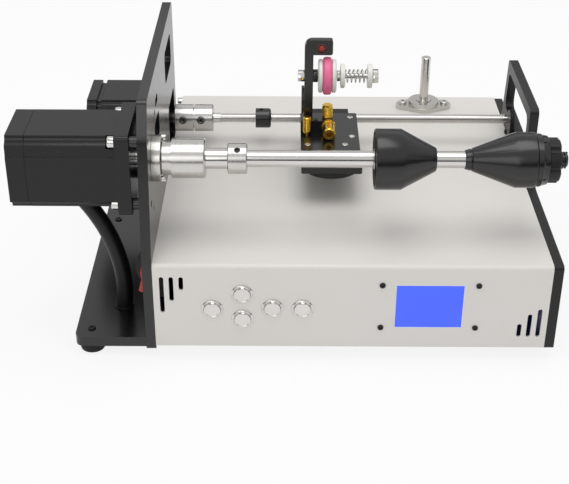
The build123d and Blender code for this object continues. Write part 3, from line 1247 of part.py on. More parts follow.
# ================= fasteners =================
bright = []
for y, z in motor_holes:
    bright.append(screw_along_x(MOTOR_SEAM, -1, M5_R, M5_HEAD_R, M5_HEAD_H, MOTOR_FLANGE_T + MOTOR_STANDOFF
                                + PLATE_T - 1, y, z))
for y, z in housing_screws:
    bright.append(screw_along_x(-X_IN + HOUSING_FLANGE, 1, M3_R, HOUSING_HEAD_R, HOUSING_HEAD_H,
                                HOUSING_FLANGE + HOUSING_SCREW_L, y, z))
bright.append(screw_along_x(-X_IN, -1, M4_R, REAR_HEAD_R, REAR_HEAD_H, SHEET + 4, *rear_fix))
for x, y in post_screws:
    z = TOP + POST_BASE_T
    head = zrod(M4_HEAD_R, z, z + M4_HEAD_H, x, y)
    head = fillet(head.edges().filter_by(GeomType.CIRCLE).sort_by(Axis.Z)[-1], M4_HEAD_H * 0.4)
    bright.append(head + zrod(M4_R, TOP - SHEET - 3, z, x, y))
screws = None
for s in bright:
    screws = s if screws is None else screws + s
keep("bright_screws", screws)

dark = []
for y, z in case_fix_right:
    dark.append(screw_along_x(X_OUT, 1, M4_R, M4_HEAD_R, M4_HEAD_H, PLATE_T + SHEET + 2, y, z))
for y, z in case_fix_left:
    dark.append(screw_along_x(-X_OUT, -1, M4_R, M4_HEAD_R, M4_HEAD_H, PLATE_T + SHEET + 2, y, z))
for y in shelf_fix_y:
    dark.append(screw_along_x(-X_IN - M4_HEAD_H - 0.1, 1, M4_R, M4_HEAD_R, M4_HEAD_H,
                              PLATE_T - M4_HEAD_H + SHELF_SCREW_L - 0.5, y, shelf_fix_z))
for y, z in drive_fix:
    dark.append(screw_along_x(sunk_face, -1, M3_R, M3_HEAD_R, M3_HEAD_H,
                              -X_OUT + DRIVE_FIX_DEPTH - sunk_face, y, z))
for y, z in end_fix:
    dark.append(screw_along_x(X_IN - END_BEARING_T, -1, M3_R, M3_HEAD_R, M3_HEAD_H,
                              END_BEARING_T + END_FIX_DEPTH, y, z))
for x, y in shelf_foot_screws:
    head = zrod(FOOT_HEAD_R, SHELF_TOP, SHELF_TOP + FOOT_HEAD_H, x, y)
    head = fillet(head.edges().filter_by(GeomType.CIRCLE).sort_by(Axis.Z)[-1], FOOT_HEAD_H * 0.5)
    dark.append(head + zrod(M4_R, SHELF_Z - FOOT_SCREW_L, SHELF_TOP, x, y))
for x, z in lcd_screws:
    head = yrod(M3_HEAD_R, -M3_HEAD_H, 0, x, z)
    head = fillet(head.edges().filter_by(GeomType.CIRCLE).sort_by(Axis.Y)[0], 0.5)
    dark.append(head + yrod(M3_R, 0, LCD_DEPTH + 1.6, x, z))
screws = None
for s in dark:
    screws = s if screws is None else screws + s
keep("black_screws", screws)

keep("side_plate_left", left_plate)
keep("side_plate_right", right_plate)

# ================= origin at the bottom centre, then one file per piece =================
boxes = [shape.bounding_box() for shape in PARTS.values()]
SHIFT_X = -(min(b.min.X for b in boxes) + max(b.max.X for b in boxes)) / 2
SHIFT_Y = -(min(b.min.Y for b in boxes) + max(b.max.Y for b in boxes)) / 2
SHIFT_Z = -min(b.min.Z for b in boxes)
os.makedirs("parts", exist_ok=True)
for name, shape in PARTS.items():
    export_step(Pos(SHIFT_X, SHIFT_Y, SHIFT_Z) * shape, f"parts/{name}.step")
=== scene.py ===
# %% [markdown]
# # A bench coil winding machine
# The machine's solids are made in CAD and packed with their bodies and joints. This script loads them
# as a fixed frame, rounds their edges, adds the small hardware that the solids leave plain, and gives
# each surface the finish that the real one has.
#
# Everything is in metres: +X runs along the spindle, +Y from the front panel to the back, +Z up.

# %% Load the machine
import json
import math

import bpy
from mathutils import Matrix, Vector


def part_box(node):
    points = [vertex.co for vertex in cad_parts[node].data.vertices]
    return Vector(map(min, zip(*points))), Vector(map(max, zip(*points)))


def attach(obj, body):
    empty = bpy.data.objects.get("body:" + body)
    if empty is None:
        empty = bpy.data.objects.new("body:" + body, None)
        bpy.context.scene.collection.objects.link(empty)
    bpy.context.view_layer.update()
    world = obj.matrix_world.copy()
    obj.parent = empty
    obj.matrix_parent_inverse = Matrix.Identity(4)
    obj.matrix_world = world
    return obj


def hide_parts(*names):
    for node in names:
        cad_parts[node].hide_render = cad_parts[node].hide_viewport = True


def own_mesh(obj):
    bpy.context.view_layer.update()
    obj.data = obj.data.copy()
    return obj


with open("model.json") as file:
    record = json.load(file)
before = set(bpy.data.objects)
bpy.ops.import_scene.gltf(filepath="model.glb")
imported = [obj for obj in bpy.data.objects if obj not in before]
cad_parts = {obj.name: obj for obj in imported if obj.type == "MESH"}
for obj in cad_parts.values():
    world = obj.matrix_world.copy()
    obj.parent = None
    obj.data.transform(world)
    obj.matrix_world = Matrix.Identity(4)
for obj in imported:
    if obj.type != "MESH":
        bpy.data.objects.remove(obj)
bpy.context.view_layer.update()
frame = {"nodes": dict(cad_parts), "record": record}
record = frame["record"]
slot_of = {part["node"]: part["material_slot"] for part in record["subparts"]}
body_of = {node: body for body, nodes in record["behaviour"]["bodies"].items() for node in nodes}

# %% [markdown]
# ## Places
# The small parts are placed by the machine's own measures, in millimetres: x from the middle of the
# case, y back from its front panel, z up from the bench. One function turns them to metres in the
# frame, so that each number below can be checked with a ruler on the real machine.

# %% From workshop measures to the frame
MM = 0.001
case_low, case_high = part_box("case_cover")
case_middle = (case_low.x + case_high.x) / 2


def at(x, y, z):
    """A point from its measures on the machine."""
    return Vector((case_middle + x * MM, case_low.y + y * MM, z * MM))


CASE_TOP = case_high.z / MM
SPINDLE = (44.0, 140.0)  # y and z of the spindle's axis
SCREW = (196.0, 101.0)  # y and z of the lead screw's axis
AXLE = (157.0, 155.0)  # y and z of the tension unit's axle
CARRIAGE_TOP = 110.0
print("case top", round(CASE_TOP, 2), "mm")

# %% [markdown]
# ## Camera
# The photograph looks down on the machine from the front, with a long lens and no tilt to speak of.
# The place and angle were found by fitting known corners of the case to their places in the picture.

# %% Camera
camera_data = bpy.data.cameras.new("camera")
camera_data.lens = 76.42
camera_data.sensor_width = 36
camera = bpy.data.objects.new("camera", camera_data)
bpy.context.scene.collection.objects.link(camera)
camera.matrix_world = (
    Matrix.Translation((-0.00395, -0.85765, 0.5202))
    @ Matrix.Rotation(math.radians(59.37), 4, "X")
    @ Matrix.Rotation(math.radians(0.31), 4, "Z")
)
bpy.context.scene.camera = camera
bpy.context.scene.view_settings.view_transform = "Standard"

# %% [markdown]
# ## Finishes
# A finish starts from what the real surface is and how it was made. Paint, plastic and rubber are
# insulators, so they keep the colour of their pigment under a clear gloss. Bare metal has no pigment:
# its colour is the tint of its reflection, and the tool marks left by turning or grinding blur it.
#
# All of them share one recipe: two close colours mixed in patches, a roughness that wanders a little,
# and a fine grain in the bump. The grain's size is given along each axis, so that marks can run round
# a turned part or lie evenly on a coated sheet.

# %% Helpers for materials
def linear(code):
    """An sRGB hex colour as linear red, green, blue and alpha."""
    parts = [int(code[i:i + 2], 16) / 255 for i in (1, 3, 5)]
    return [p / 12.92 if p <= 0.04045 else ((p + 0.055) / 1.055) ** 2.4 for p in parts] + [1.0]


def put(tree, kind, inputs=None, **settings):
    """Adds a node: settings are its own properties, inputs are values or the sockets that feed it."""
    made = tree.nodes.new(kind)
    for key, value in settings.items():
        setattr(made, key, value)
    for key, value in (inputs or {}).items():
        if isinstance(value, bpy.types.NodeSocket):
            tree.links.new(value, made.inputs[key])
        else:
            made.inputs[key].default_value = value
    return made


def finish(name, light, dark, patch, rough, grain, depth, **shader):
    """A finish from two colours, the size of their patches, the range of roughness, and the grain.

    patch and grain are in millimetres, grain along each axis; depth is the grain's height in
    millimetres. What is left goes to the shader's own sockets.
    """
    material = bpy.data.materials.new(name)
    material.use_nodes = True
    tree = material.node_tree
    tree.nodes.clear()
    place = put(tree, "ShaderNodeTexCoord").outputs["Object"]
    wander = put(tree, "ShaderNodeTexNoise", {"Vector": place, "Scale": 1000 / patch, "Detail": 3.0})
    tone = put(tree, "ShaderNodeMix", {"Factor": wander.outputs["Fac"]}, data_type="RGBA")
    tone.inputs[6].default_value = linear(dark)
    tone.inputs[7].default_value = linear(light)
    scale = put(tree, "ShaderNodeMapping", {"Vector": place, "Scale": [1000 / g for g in grain]})
    marks = put(tree, "ShaderNodeTexNoise", {"Vector": scale.outputs[0], "Scale": 1.0, "Detail": 2.0})
    sheen = put(tree, "ShaderNodeMapRange", {
        "Value": marks.outputs["Fac"], "From Min": 0.3, "From Max": 0.7,
        "To Min": rough[0], "To Max": rough[1]})
    bump = put(tree, "ShaderNodeBump", {"Height": marks.outputs["Fac"], "Distance": depth * MM})
    surface = put(tree, "ShaderNodeBsdfPrincipled", {
        "Base Color": tone.outputs[2], "Roughness": sheen.outputs[0], "Normal": bump.outputs[0], **shader})
    put(tree, "ShaderNodeOutputMaterial", {"Surface": surface.outputs[0]})
    return material


# %% [markdown]
# ### The sheet metal case
# The case is folded steel with a baked powder coat, in a light warm grey. Powder melts into a skin
# that is even in colour, very slightly dimpled, and glossy enough to show a blurred reflection of
# whatever stands over it. The dimples are 0.3 to 0.8 mm across on the real one; they are drawn at
# 0.9 mm, since smaller ones vanish between pixels.

# %% Coated sheet metal
SATIN = {"Specular IOR Level": 0.4}  # dyed and sealed skins reflect less than clear plastic
FINISH = {
    "panel_coat": finish(
        "powder_coated_steel", "#E7E4DF", "#E3E0DA", 60, (0.30, 0.36), (0.9, 0.9, 0.9), 0.010),
    "black_plate": finish(
        "black_powder_coated_steel", "#141415", "#101011", 30, (0.34, 0.44), (0.7, 0.7, 0.7), 0.015, **SATIN),
    "motor_black": finish(
        "black_enamelled_motor", "#101011", "#0C0C0D", 40, (0.22, 0.30), (0.6, 0.6, 0.6), 0.006, **SATIN),
    "galvanised": finish(
        "galvanised_sheet", "#B4B7B9", "#9A9DA0", 8, (0.35, 0.55), (3.0, 3.0, 3.0), 0.01, Metallic=1.0),
}

# %% [markdown]
# ### Machined metal
# The side plates and the cones are aluminium, machined and then anodised: the dye sits in a hard clear
# skin, so black stays black but the surface keeps a satin sheen that turns to mid grey where light
# glances off it. Shafts are ground steel, hubs and couplings are turned aluminium, and their tool
# marks run round the axis: short along X and long round it. They are about 0.05 mm apart in truth and
# are drawn at 0.35 mm.

# %% Machined metal
FINISH.update({
    "black_anodised": finish(
        "black_anodised_aluminium", "#121213", "#0E0E0F", 50, (0.20, 0.27), (0.5, 0.5, 0.5), 0.002,
        **{"Specular IOR Level": 0.62}),
    "turned_steel": finish(
        "ground_steel", "#DAD8D5", "#CFCDCA", 25, (0.12, 0.18), (0.35, 30, 30), 0.0008, Metallic=1.0),
    "silver_alu": finish(
        "turned_aluminium", "#D5D3CF", "#C8C6C2", 20, (0.20, 0.28), (0.35, 30, 30), 0.0015, Metallic=1.0),
    "chrome": finish(
        "nickel_plated_brass", "#DEDCD8", "#D2D0CC", 15, (0.09, 0.16), (0.8, 0.8, 0.8), 0.001, Metallic=1.0),
    "brass": finish(
        "turned_brass", "#F6D05A", "#E8B840", 6, (0.16, 0.26), (0.5, 0.5, 0.3), 0.001, Metallic=1.0),
})

# %% [markdown]
# ### Plastics and rubber
# Moulded parts have no tool marks; what one sees is the faint texture of the mould. The white parts of
# the tension unit are acetal, a dense and slightly waxy plastic. The tyre of the guide wheel is soft
# silicone, which grips the wire, and rubber feet are dull because their surface is open.

# %% Plastics, rubber and the display
FINISH.update({
    "black_plastic": finish(
        "moulded_black_nylon", "#131314", "#0F0F10", 12, (0.38, 0.48), (0.4, 0.4, 0.4), 0.012, **SATIN),
    "white_plastic": finish(
        "white_acetal", "#F1F0EC", "#E8E7E2", 15, (0.26, 0.34), (0.8, 0.8, 0.8), 0.006),
    "red_plastic": finish(
        "red_abs", "#C8402F", "#BB3829", 10, (0.30, 0.38), (0.5, 0.5, 0.5), 0.01),
    "pink_rubber": finish(
        "pink_silicone", "#F97CA8", "#F26C9B", 10, (0.40, 0.50), (0.6, 0.6, 0.6), 0.01),
    "rubber": finish(
        "moulded_rubber", "#161616", "#111111", 8, (0.62, 0.75), (0.5, 0.5, 0.5), 0.04, **SATIN),
    "cable_sleeve": finish(
        "pvc_cable_sheath", "#111112", "#0D0D0E", 15, (0.42, 0.52), (0.6, 0.6, 0.6), 0.015, **SATIN),
    "circuit": finish(
        "solder_mask", "#2A6B43", "#1E5434", 10, (0.28, 0.38), (1.2, 1.2, 1.2), 0.02),
    "lcd_blue": finish(
        "lit_display", "#4664F4", "#4160F0", 30, (0.16, 0.22), (0.5, 0.5, 0.5), 0.001,
        **{"Emission Color": linear("#3A5CFF"), "Emission Strength": 0.35}),
})
print("finishes", len(FINISH))

# %% [markdown]
# ## Working by hand, in code
# Blender's operators act on whatever is selected. So each step starts with nothing selected, and faces
# are then picked by where they are or which way they point, as one would click them.

# %% Selecting and shaping
def pick_nothing():
    """Leaves edit mode and deselects everything."""
    if bpy.context.mode != "OBJECT":
        bpy.ops.object.mode_set(mode="OBJECT")
    bpy.ops.object.select_all(action="DESELECT")


def pick(piece):
    """Makes one piece the only one selected."""
    pick_nothing()
    piece.select_set(True)
    bpy.context.view_layer.objects.active = piece
    return piece


def edit_faces(piece, wanted):
    """Edit mode, with the faces selected whose centre and normal pass the test."""
    pick(piece)
    bpy.context.tool_settings.mesh_select_mode = (False, False, True)
    bpy.ops.object.mode_set(mode="EDIT")
    bpy.ops.mesh.select_all(action="DESELECT")
    bpy.ops.object.mode_set(mode="OBJECT")
    for face in piece.data.polygons:
        face.select = wanted(face.center, face.normal)
    bpy.ops.object.mode_set(mode="EDIT")


def modify(piece, kind, **settings):
    """Adds a modifier and applies it."""
    pick(piece)
    step = piece.modifiers.new(kind, kind)
    for key, value in settings.items():
        setattr(step, key, value)
    bpy.ops.object.modifier_apply(modifier=step.name)


def smooth(piece, angle=32):
    """Shades the piece smooth, with creases where faces meet at more than the angle."""
    pick(piece)
    bpy.ops.object.shade_smooth_by_angle(angle=math.radians(angle))


def copied(master, turn, place):
    """A copy of a master piece with a mesh of its own, turned and then moved into place."""
    piece = bpy.data.objects.new(master.name, master.data.copy())
    bpy.context.scene.collection.objects.link(piece)
    piece.data.transform(Matrix.Translation(place) @ turn)
    return piece


def joined(pieces):
    """Several pieces made one."""
    pick(pieces[0])
    for piece in pieces:
        piece.select_set(True)
    bpy.ops.object.join()
    return pieces[0]


def fit(piece, name, material, body, *nodes):
    """Names a finished piece, gives it its finish and its body, and hides the CAD nodes that it stands for."""
    pick(piece)
    bpy.ops.object.transform_apply(location=True, rotation=True, scale=True)
    piece.name = piece.data.name = name
    piece.data.materials.clear()
    piece.data.materials.append(FINISH[material])
    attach(piece, body)
    if nodes:
        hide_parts(*nodes)
    return piece


ALONG_X = Matrix.Rotation(math.radians(90), 4, "Y")  # turns +Z to +X
BACK_X = Matrix.Rotation(math.radians(-90), 4, "Y")  # turns +Z to -X
TO_FRONT = Matrix.Rotation(math.radians(90), 4, "X")  # turns +Z to -Y
UPRIGHT = Matrix.Identity(4)

# %% [markdown]
# ## Rounded edges on the CAD parts
# No real edge is perfectly sharp. Milled plates are broken with a file or a chamfer, and coatings
# round them further; that thin round is what catches the light and draws the part's outline. A bevel
# could be added to the CAD, but it would slow every check of it. Here each part's mesh is copied, its
# loose triangles are merged into whole faces, and a Bevel modifier rounds the edges that are sharper
# than 30 degrees. The new piece then stands for the CAD node.

# %% Round the edges
def rounded(node, width, segments=2):
    """A copy of a CAD node with whole faces and edges rounded by width, in millimetres."""
    source = frame["nodes"][node]
    piece = bpy.data.objects.new(node + "_rounded", source.data.copy())
    bpy.context.scene.collection.objects.link(piece)
    pick(piece)
    bpy.ops.mesh.customdata_custom_splitnormals_clear()
    bpy.ops.object.mode_set(mode="EDIT")
    bpy.ops.mesh.select_all(action="SELECT")
    bpy.ops.mesh.remove_doubles(threshold=0.000002)
    bpy.ops.mesh.dissolve_limited(angle_limit=math.radians(0.5))
    bpy.ops.object.mode_set(mode="OBJECT")
    smooth(piece, 30)
    modify(piece, "BEVEL", width=width * MM, segments=segments, limit_method="ANGLE",
           angle_limit=math.radians(30), harden_normals=True, use_clamp_overlap=True)
    return fit(piece, node + "_rounded", slot_of[node], body_of[node], node)


EDGE = {
    "case_cover": 0.25, "back_panel": 0.2, "base_plate": 0.3, "side_plate_left": 0.5, "side_plate_right": 0.8,
    "motor_shelf": 0.6, "main_motor_flange": 0.5, "main_motor_body": 0.35, "main_motor_cap": 0.35,
    "drive_motor": 0.35, "drive_bracket": 0.3, "spindle_bearing": 0.25, "spindle_hub": 0.2,
    "spindle_collar": 0.2, "left_cone": 0.4, "clamp_cone": 0.3, "ring_nut": 0.35, "clamp_knob": 0.5,
    "shaft_coupling": 0.15, "stop_collar": 0.3, "screw_end_bearing": 0.3, "carriage_plate": 0.3,
    "nut_block": 0.4, "glide_shoe": 0.3, "guide_block": 0.3, "guide_bracket": 0.4, "wire_nozzle": 0.15,
    "guide_wheel": 0.25, "wheel_tyre": 0.2, "tension_disc": 0.5, "spool_post": 0.2,
    "post_bearing": 0.4, "switch_housing": 0.4, "power_rocker": 0.4, "cable_glands": 0.3,
    "rubber_feet": 0.6, "power_inlet": 0.4, "power_supply": 0.3, "motor_spacers": 0.2,
}
for node, width in EDGE.items():
    rounded(node, width)
print("rounded", len(EDGE))

# %% [markdown]
# The parts that no one sees, or that are smooth as they are, keep their CAD mesh and take a finish.

# %% Finishes of the remaining CAD parts
for node, thing in frame["nodes"].items():
    thing.data.materials.clear()
    thing.data.materials.append(FINISH[slot_of[node]])

# %% [markdown]
# ## Screws
# All the machine's screws have a hexagon socket, driven with an L key. One master is modelled: a
# cylinder for the head, its top rim rounded, its underside inset and pulled down into the shank, and
# the socket cut with a six-sided prism. Every screw is a copy of it at its own size and angle.

# %% One hexagon socket screw
def hex_screw(head_r, head_h, shank_r, shank_l, key_r, crown):
    """A screw with its head on z = 0 and its shank below, in millimetres; crown rounds the head."""
    pick_nothing()
    bpy.ops.mesh.primitive_cylinder_add(
        vertices=32, radius=head_r * MM, depth=head_h * MM, location=(0, 0, head_h * MM / 2))
    screw = bpy.context.active_object
    bpy.ops.object.transform_apply()
    edit_faces(screw, lambda c, n: n.z > 0.9)
    bpy.ops.mesh.bevel(offset=crown * MM, segments=4, affect="EDGES")
    edit_faces(screw, lambda c, n: n.z < -0.9)
    bpy.ops.mesh.inset(thickness=(head_r - shank_r) * MM)
    bpy.ops.mesh.extrude_region_move(TRANSFORM_OT_translate={"value": (0, 0, -shank_l * MM)})
    pick_nothing()
    bpy.ops.mesh.primitive_cylinder_add(
        vertices=6, radius=key_r * MM, depth=head_h * MM, location=(0, 0, head_h * MM * 0.95))
    key = bpy.context.active_object
    modify(screw, "BOOLEAN", object=key, operation="DIFFERENCE", solver="EXACT")
    bpy.data.objects.remove(key)
    smooth(screw, 35)
    return screw


def spread(master, direction, places):
    """Copies of a screw, its head towards the direction, each turned a little differently."""
    return [
        copied(master, direction @ Matrix.Rotation(math.radians(23 * i), 4, "Z"), place)
        for i, place in enumerate(places)
    ]


# %% Bright screws
# motor flange to the left plate, bearing housing, back corner of the case, spool post
motor_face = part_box("main_motor_flange")[0].x
FLANGE_PITCH = 47.14
corners = [(SPINDLE[0] + i * FLANGE_PITCH / 2, SPINDLE[1] + k * FLANGE_PITCH / 2)
           for i in (-1, 1) for k in (-1, 1)]
flange_screw = hex_screw(4.2, 5.0, 2.5, 21.5, 2.1, 0.9)
bright = spread(flange_screw, BACK_X, [Vector((motor_face, at(0, y, z).y, z * MM)) for y, z in corners])
small_screw = hex_screw(3.5, 2.4, 2.0, 4.0, 1.3, 1.0)
bearing_screw = hex_screw(2.2, 2.8, 1.5, 6.0, 1.1, 0.7)
HOUSING_SCREW_R = 14.5
housing = [
    at(-133.6, SPINDLE[0] + HOUSING_SCREW_R * math.cos(math.radians(a)),
       SPINDLE[1] + HOUSING_SCREW_R * math.sin(math.radians(a))) for a in (62, 242)
]
bright += spread(bearing_screw, ALONG_X, housing)
rear_screw = hex_screw(4.0, 4.2, 2.0, 4.0, 1.6, 0.8)
bright += spread(rear_screw, BACK_X, [at(-140, 285.0, CASE_TOP - 3.9)])
bright += spread(small_screw, UPRIGHT, [at(74 + s * 18.2, 267.5, CASE_TOP + 4) for s in (-1, 1)])
for master in (flange_screw, bearing_screw, rear_screw):
    bpy.data.objects.remove(master)
fit(joined(bright), "bright_screw_set", "chrome", "machine", "bright_screws")

# %% Black screws
# display, case to side plates, shelf, lead screw drive and end bearing
DISPLAY_X, DISPLAY_Z = 55.0, 45.7  # middle of the display
DISPLAY_SCREWS = (33.8, 17.75)  # from its middle to each screw
display_screws = [at(DISPLAY_X + i * DISPLAY_SCREWS[0], 0, DISPLAY_Z + k * DISPLAY_SCREWS[1])
                  for i in (-1, 1) for k in (-1, 1)]
panel_screw = hex_screw(2.1, 1.2, 1.5, 6.0, 0.9, 0.45)
dark = spread(panel_screw, TO_FRONT, display_screws)
right_side = [at(147, y, z) for y in (18, 272) for z in (CASE_TOP - 14, 25)]
left_side = [at(-147, y, z) for y, z in ((211, CASE_TOP - 30), (211, 25), (45, CASE_TOP - 14), (45, 25))]
dark += spread(small_screw, ALONG_X, right_side)
dark += spread(small_screw, BACK_X, left_side)
dark += spread(small_screw, ALONG_X, [at(-142.5, y, 12) for y in (40, 112, 190)])
drive_screws = [at(-149.7, y, SCREW[1] + k * 19) for y in (160.25, 216.25) for k in (-1, 1)]
dark += spread(panel_screw, BACK_X, drive_screws)
dark += spread(panel_screw, BACK_X, [at(136.5, SCREW[0] + s * 6.6, CASE_TOP + 7.75) for s in (-1, 1)])
foot_screw = hex_screw(2.9, 1.0, 2.0, 4.0, 1.3, 0.4)
dark += spread(foot_screw, UPRIGHT, [at(-188, y, 16) for y in (14, 175)])
fit(joined(dark), "black_screw_set", "black_plate", "machine", "black_screws")
for master in (panel_screw, foot_screw):
    bpy.data.objects.remove(master)

# %% [markdown]
# ## Lead screw thread
# The lead screw has a rounded trapezoidal thread with 2 mm between turns. Grooves cut as separate
# rings look alike from far, but light runs along a true helix. One pitch of the profile is drawn as a
# line, extruded from point to point, and the Screw modifier winds it along the axis.

# %% Drawing an outline and winding it
def drawn(points):
    """A line drawn as by hand: one point, extruded to the next, and so on. Points are in metres."""
    pick_nothing()
    bpy.context.tool_settings.mesh_select_mode = (True, False, False)
    bpy.ops.mesh.primitive_plane_add(size=MM, location=points[0])
    line = bpy.context.active_object
    bpy.ops.object.mode_set(mode="EDIT")
    bpy.ops.mesh.merge(type="CENTER")
    for here, there in zip(points, points[1:]):
        bpy.ops.mesh.extrude_region_move(
            TRANSFORM_OT_translate={"value": tuple(Vector(there) - Vector(here))})
    pick(line)
    bpy.ops.object.transform_apply()
    return line


def closed_up(piece):
    """Merges doubles, fills open ends and points the faces outwards."""
    pick(piece)
    bpy.context.tool_settings.mesh_select_mode = (True, False, False)
    bpy.ops.object.mode_set(mode="EDIT")
    bpy.ops.mesh.select_all(action="SELECT")
    bpy.ops.mesh.remove_doubles(threshold=0.000002)
    bpy.ops.mesh.select_all(action="DESELECT")
    bpy.ops.mesh.select_non_manifold()
    bpy.ops.mesh.edge_face_add()
    bpy.ops.mesh.select_all(action="SELECT")
    bpy.ops.mesh.normals_make_consistent(inside=False)
    bpy.ops.object.mode_set(mode="OBJECT")


def lathe(points, axis_y, axis_z, steps=48):
    """A part turned about an axis along X from its (x, radius) outline, in metres."""
    line = drawn([(x, axis_y, axis_z + r) for x, r in points])
    bpy.context.tool_settings.mesh_select_mode = (True, False, False)
    bpy.ops.object.mode_set(mode="EDIT")
    bpy.ops.mesh.select_all(action="SELECT")
    bpy.ops.mesh.spin(steps=steps, angle=2 * math.pi, center=(0, axis_y, axis_z), axis=(1, 0, 0))
    bpy.ops.mesh.select_all(action="SELECT")
    bpy.ops.mesh.remove_doubles(threshold=0.000002)
    bpy.ops.mesh.normals_make_consistent(inside=False)
    bpy.ops.object.mode_set(mode="OBJECT")
    return line


def thread(start, turns, pitch, radius, depth, axis_y, axis_z, steps=20):
    """A bar with a screw thread along X. Lengths in metres."""
    profile = [(0, -depth), (0.2, -depth), (0.42, 0), (0.76, 0), (1, -depth)]
    line = drawn([(start + x * pitch, 0, radius + d) for x, d in profile])
    modify(line, "SCREW", axis="X", angle=2 * math.pi, screw_offset=pitch, iterations=turns,
           steps=steps, render_steps=steps, use_merge_vertices=False)
    line.data.transform(Matrix.Translation((0, axis_y, axis_z)))
    closed_up(line)
    return line


# %% Lead screw
screw_low, screw_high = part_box("lead_screw")
screw_y, screw_z = (screw_low.y + screw_high.y) / 2, (screw_low.z + screw_high.z) / 2
thread_start = at(-102, 0, 0).x
THREAD_TURNS = 117
THREAD_R = 4 * MM
THREAD_DEPTH = 0.9 * MM
bar = thread(thread_start, THREAD_TURNS, 2 * MM, THREAD_R, THREAD_DEPTH, screw_y, screw_z)
neck = lathe([(screw_low.x, 0), (screw_low.x, THREAD_R), (thread_start + MM, THREAD_R),
              (thread_start + 1.5 * MM, THREAD_R - THREAD_DEPTH), (thread_start + 1.5 * MM, 0)], screw_y, screw_z)
tip_start = thread_start + THREAD_TURNS * 2 * MM - MM
tip = lathe([(tip_start, 0), (tip_start, 3 * MM), (screw_high.x - 0.8 * MM, 3 * MM),
             (screw_high.x, 2.2 * MM), (screw_high.x, 0)], screw_y, screw_z)
whole = joined([bar, neck, tip])
smooth(whole, 40)
fit(whole, "lead_screw_thread", "turned_steel", "screw", "lead_screw")
print("lead screw faces", len(whole.data.polygons))

# %% [markdown]
# ## Tension spring
# A compression spring of 1.1 mm wire sits on the axle between two white discs. Its section is a small
# circle, wound by the same modifier. When the nut is turned in, the real spring shortens as the disc
# slides; this piece keeps its wound length.

# %% Spring
spring_low, spring_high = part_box("tension_spring")
axle_y, axle_z = (spring_low.y + spring_high.y) / 2, (spring_low.z + spring_high.z) / 2
WIRE_R = 0.55 * MM
COIL_R = 4.9 * MM
COILS = 5
wound = spring_high.x - spring_low.x - 2 * WIRE_R
pick_nothing()
bpy.ops.mesh.primitive_circle_add(
    vertices=10, radius=WIRE_R, location=(spring_low.x + WIRE_R, 0, COIL_R), rotation=(math.radians(90), 0, 0))
spring = bpy.context.active_object
bpy.ops.object.transform_apply()
modify(spring, "SCREW", axis="X", angle=2 * math.pi, screw_offset=wound / COILS, iterations=COILS,
       steps=32, render_steps=32)
spring.data.transform(Matrix.Translation((0, axle_y, axle_z)))
closed_up(spring)
smooth(spring, 60)
fit(spring, "tension_spring_coil", "turned_steel", "carriage", "tension_spring")
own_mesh(spring)

# %% [markdown]
# ## Knurled screws
# Two brass thumb screws are knurled so that fingers can turn them: a tool presses a pattern of small
# pyramids into the rim. Here a ring of small faces is stacked by extruding, then Poke raises the
# middle of each face into a pyramid.

# %% Knurled brass screws
def knurled(radius, height, rows, columns, lift, dome, pin_r, pin_l):
    """A knurled screw standing on z = 0, its plain pin below. Millimetres."""
    pick_nothing()
    collar = 0.8
    bpy.ops.mesh.primitive_cylinder_add(
        vertices=columns, radius=(radius - 0.3) * MM, depth=collar * MM, location=(0, 0, collar * MM / 2))
    screw = bpy.context.active_object
    bpy.ops.object.transform_apply()
    row = (height - collar - dome) / rows * MM
    edit_faces(screw, lambda c, n: n.z > 0.9)
    for i in range(rows):
        bpy.ops.mesh.extrude_region_move(TRANSFORM_OT_translate={"value": (0, 0, row)})
    bpy.ops.mesh.extrude_region_move(TRANSFORM_OT_translate={"value": (0, 0, dome * 0.6 * MM)})
    bpy.ops.mesh.inset(thickness=dome * 0.5 * MM)
    bpy.ops.transform.translate(value=(0, 0, dome * 0.4 * MM))
    edit_faces(screw, lambda c, n: abs(n.z) < 0.1 and collar * MM < c.z < (height - dome) * MM)
    bpy.ops.mesh.poke(offset=lift * MM)
    edit_faces(screw, lambda c, n: n.z < -0.9)
    bpy.ops.mesh.inset(thickness=(radius - 0.3 - pin_r) * MM)
    bpy.ops.mesh.extrude_region_move(TRANSFORM_OT_translate={"value": (0, 0, -pin_l * MM)})
    bpy.ops.object.mode_set(mode="OBJECT")
    return screw


pinch_low, pinch_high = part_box("pinch_screw")
PINCH_H = 11.2
pinch = knurled(4.3, PINCH_H, 8, 26, 0.3, 1.6, 1.6, 3.8)
pinch.data.transform(Matrix.Translation(
    ((pinch_low.x + pinch_high.x) / 2, (pinch_low.y + pinch_high.y) / 2, pinch_high.z - PINCH_H * MM)))
smooth(pinch, 20)
fit(pinch, "pinch_screw_knurled", "brass", "pinch", "pinch_screw")
thumb_low, thumb_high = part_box("thumb_screw")
THUMB_H = 13.0
thumb = knurled(3.3, THUMB_H, 9, 22, 0.3, 1.0, 1.6, 6.0)
thumb.data.transform(Matrix.Translation(
    ((thumb_low.x + thumb_high.x) / 2, (thumb_low.y + thumb_high.y) / 2, thumb_high.z - THUMB_H * MM)))
smooth(thumb, 20)
fit(thumb, "thumb_screw_knurled", "brass", "thumb", "thumb_screw")

# %% [markdown]
# ## The spindle's bar
# The spindle is a ground steel bar, thicker where it enters the hub. Its last stretch is threaded and
# blackened, so that the knob can push the right cone against a bobbin. The bar is one turned outline;
# the thread is wound as on the lead screw, only finer.

# %% Spindle bar and its threaded end
def millimetres(points):
    """An outline in metres along the machine's x, from its (x, radius) in millimetres."""
    return [(at(x, 0, 0).x, r * MM) for x, r in points]


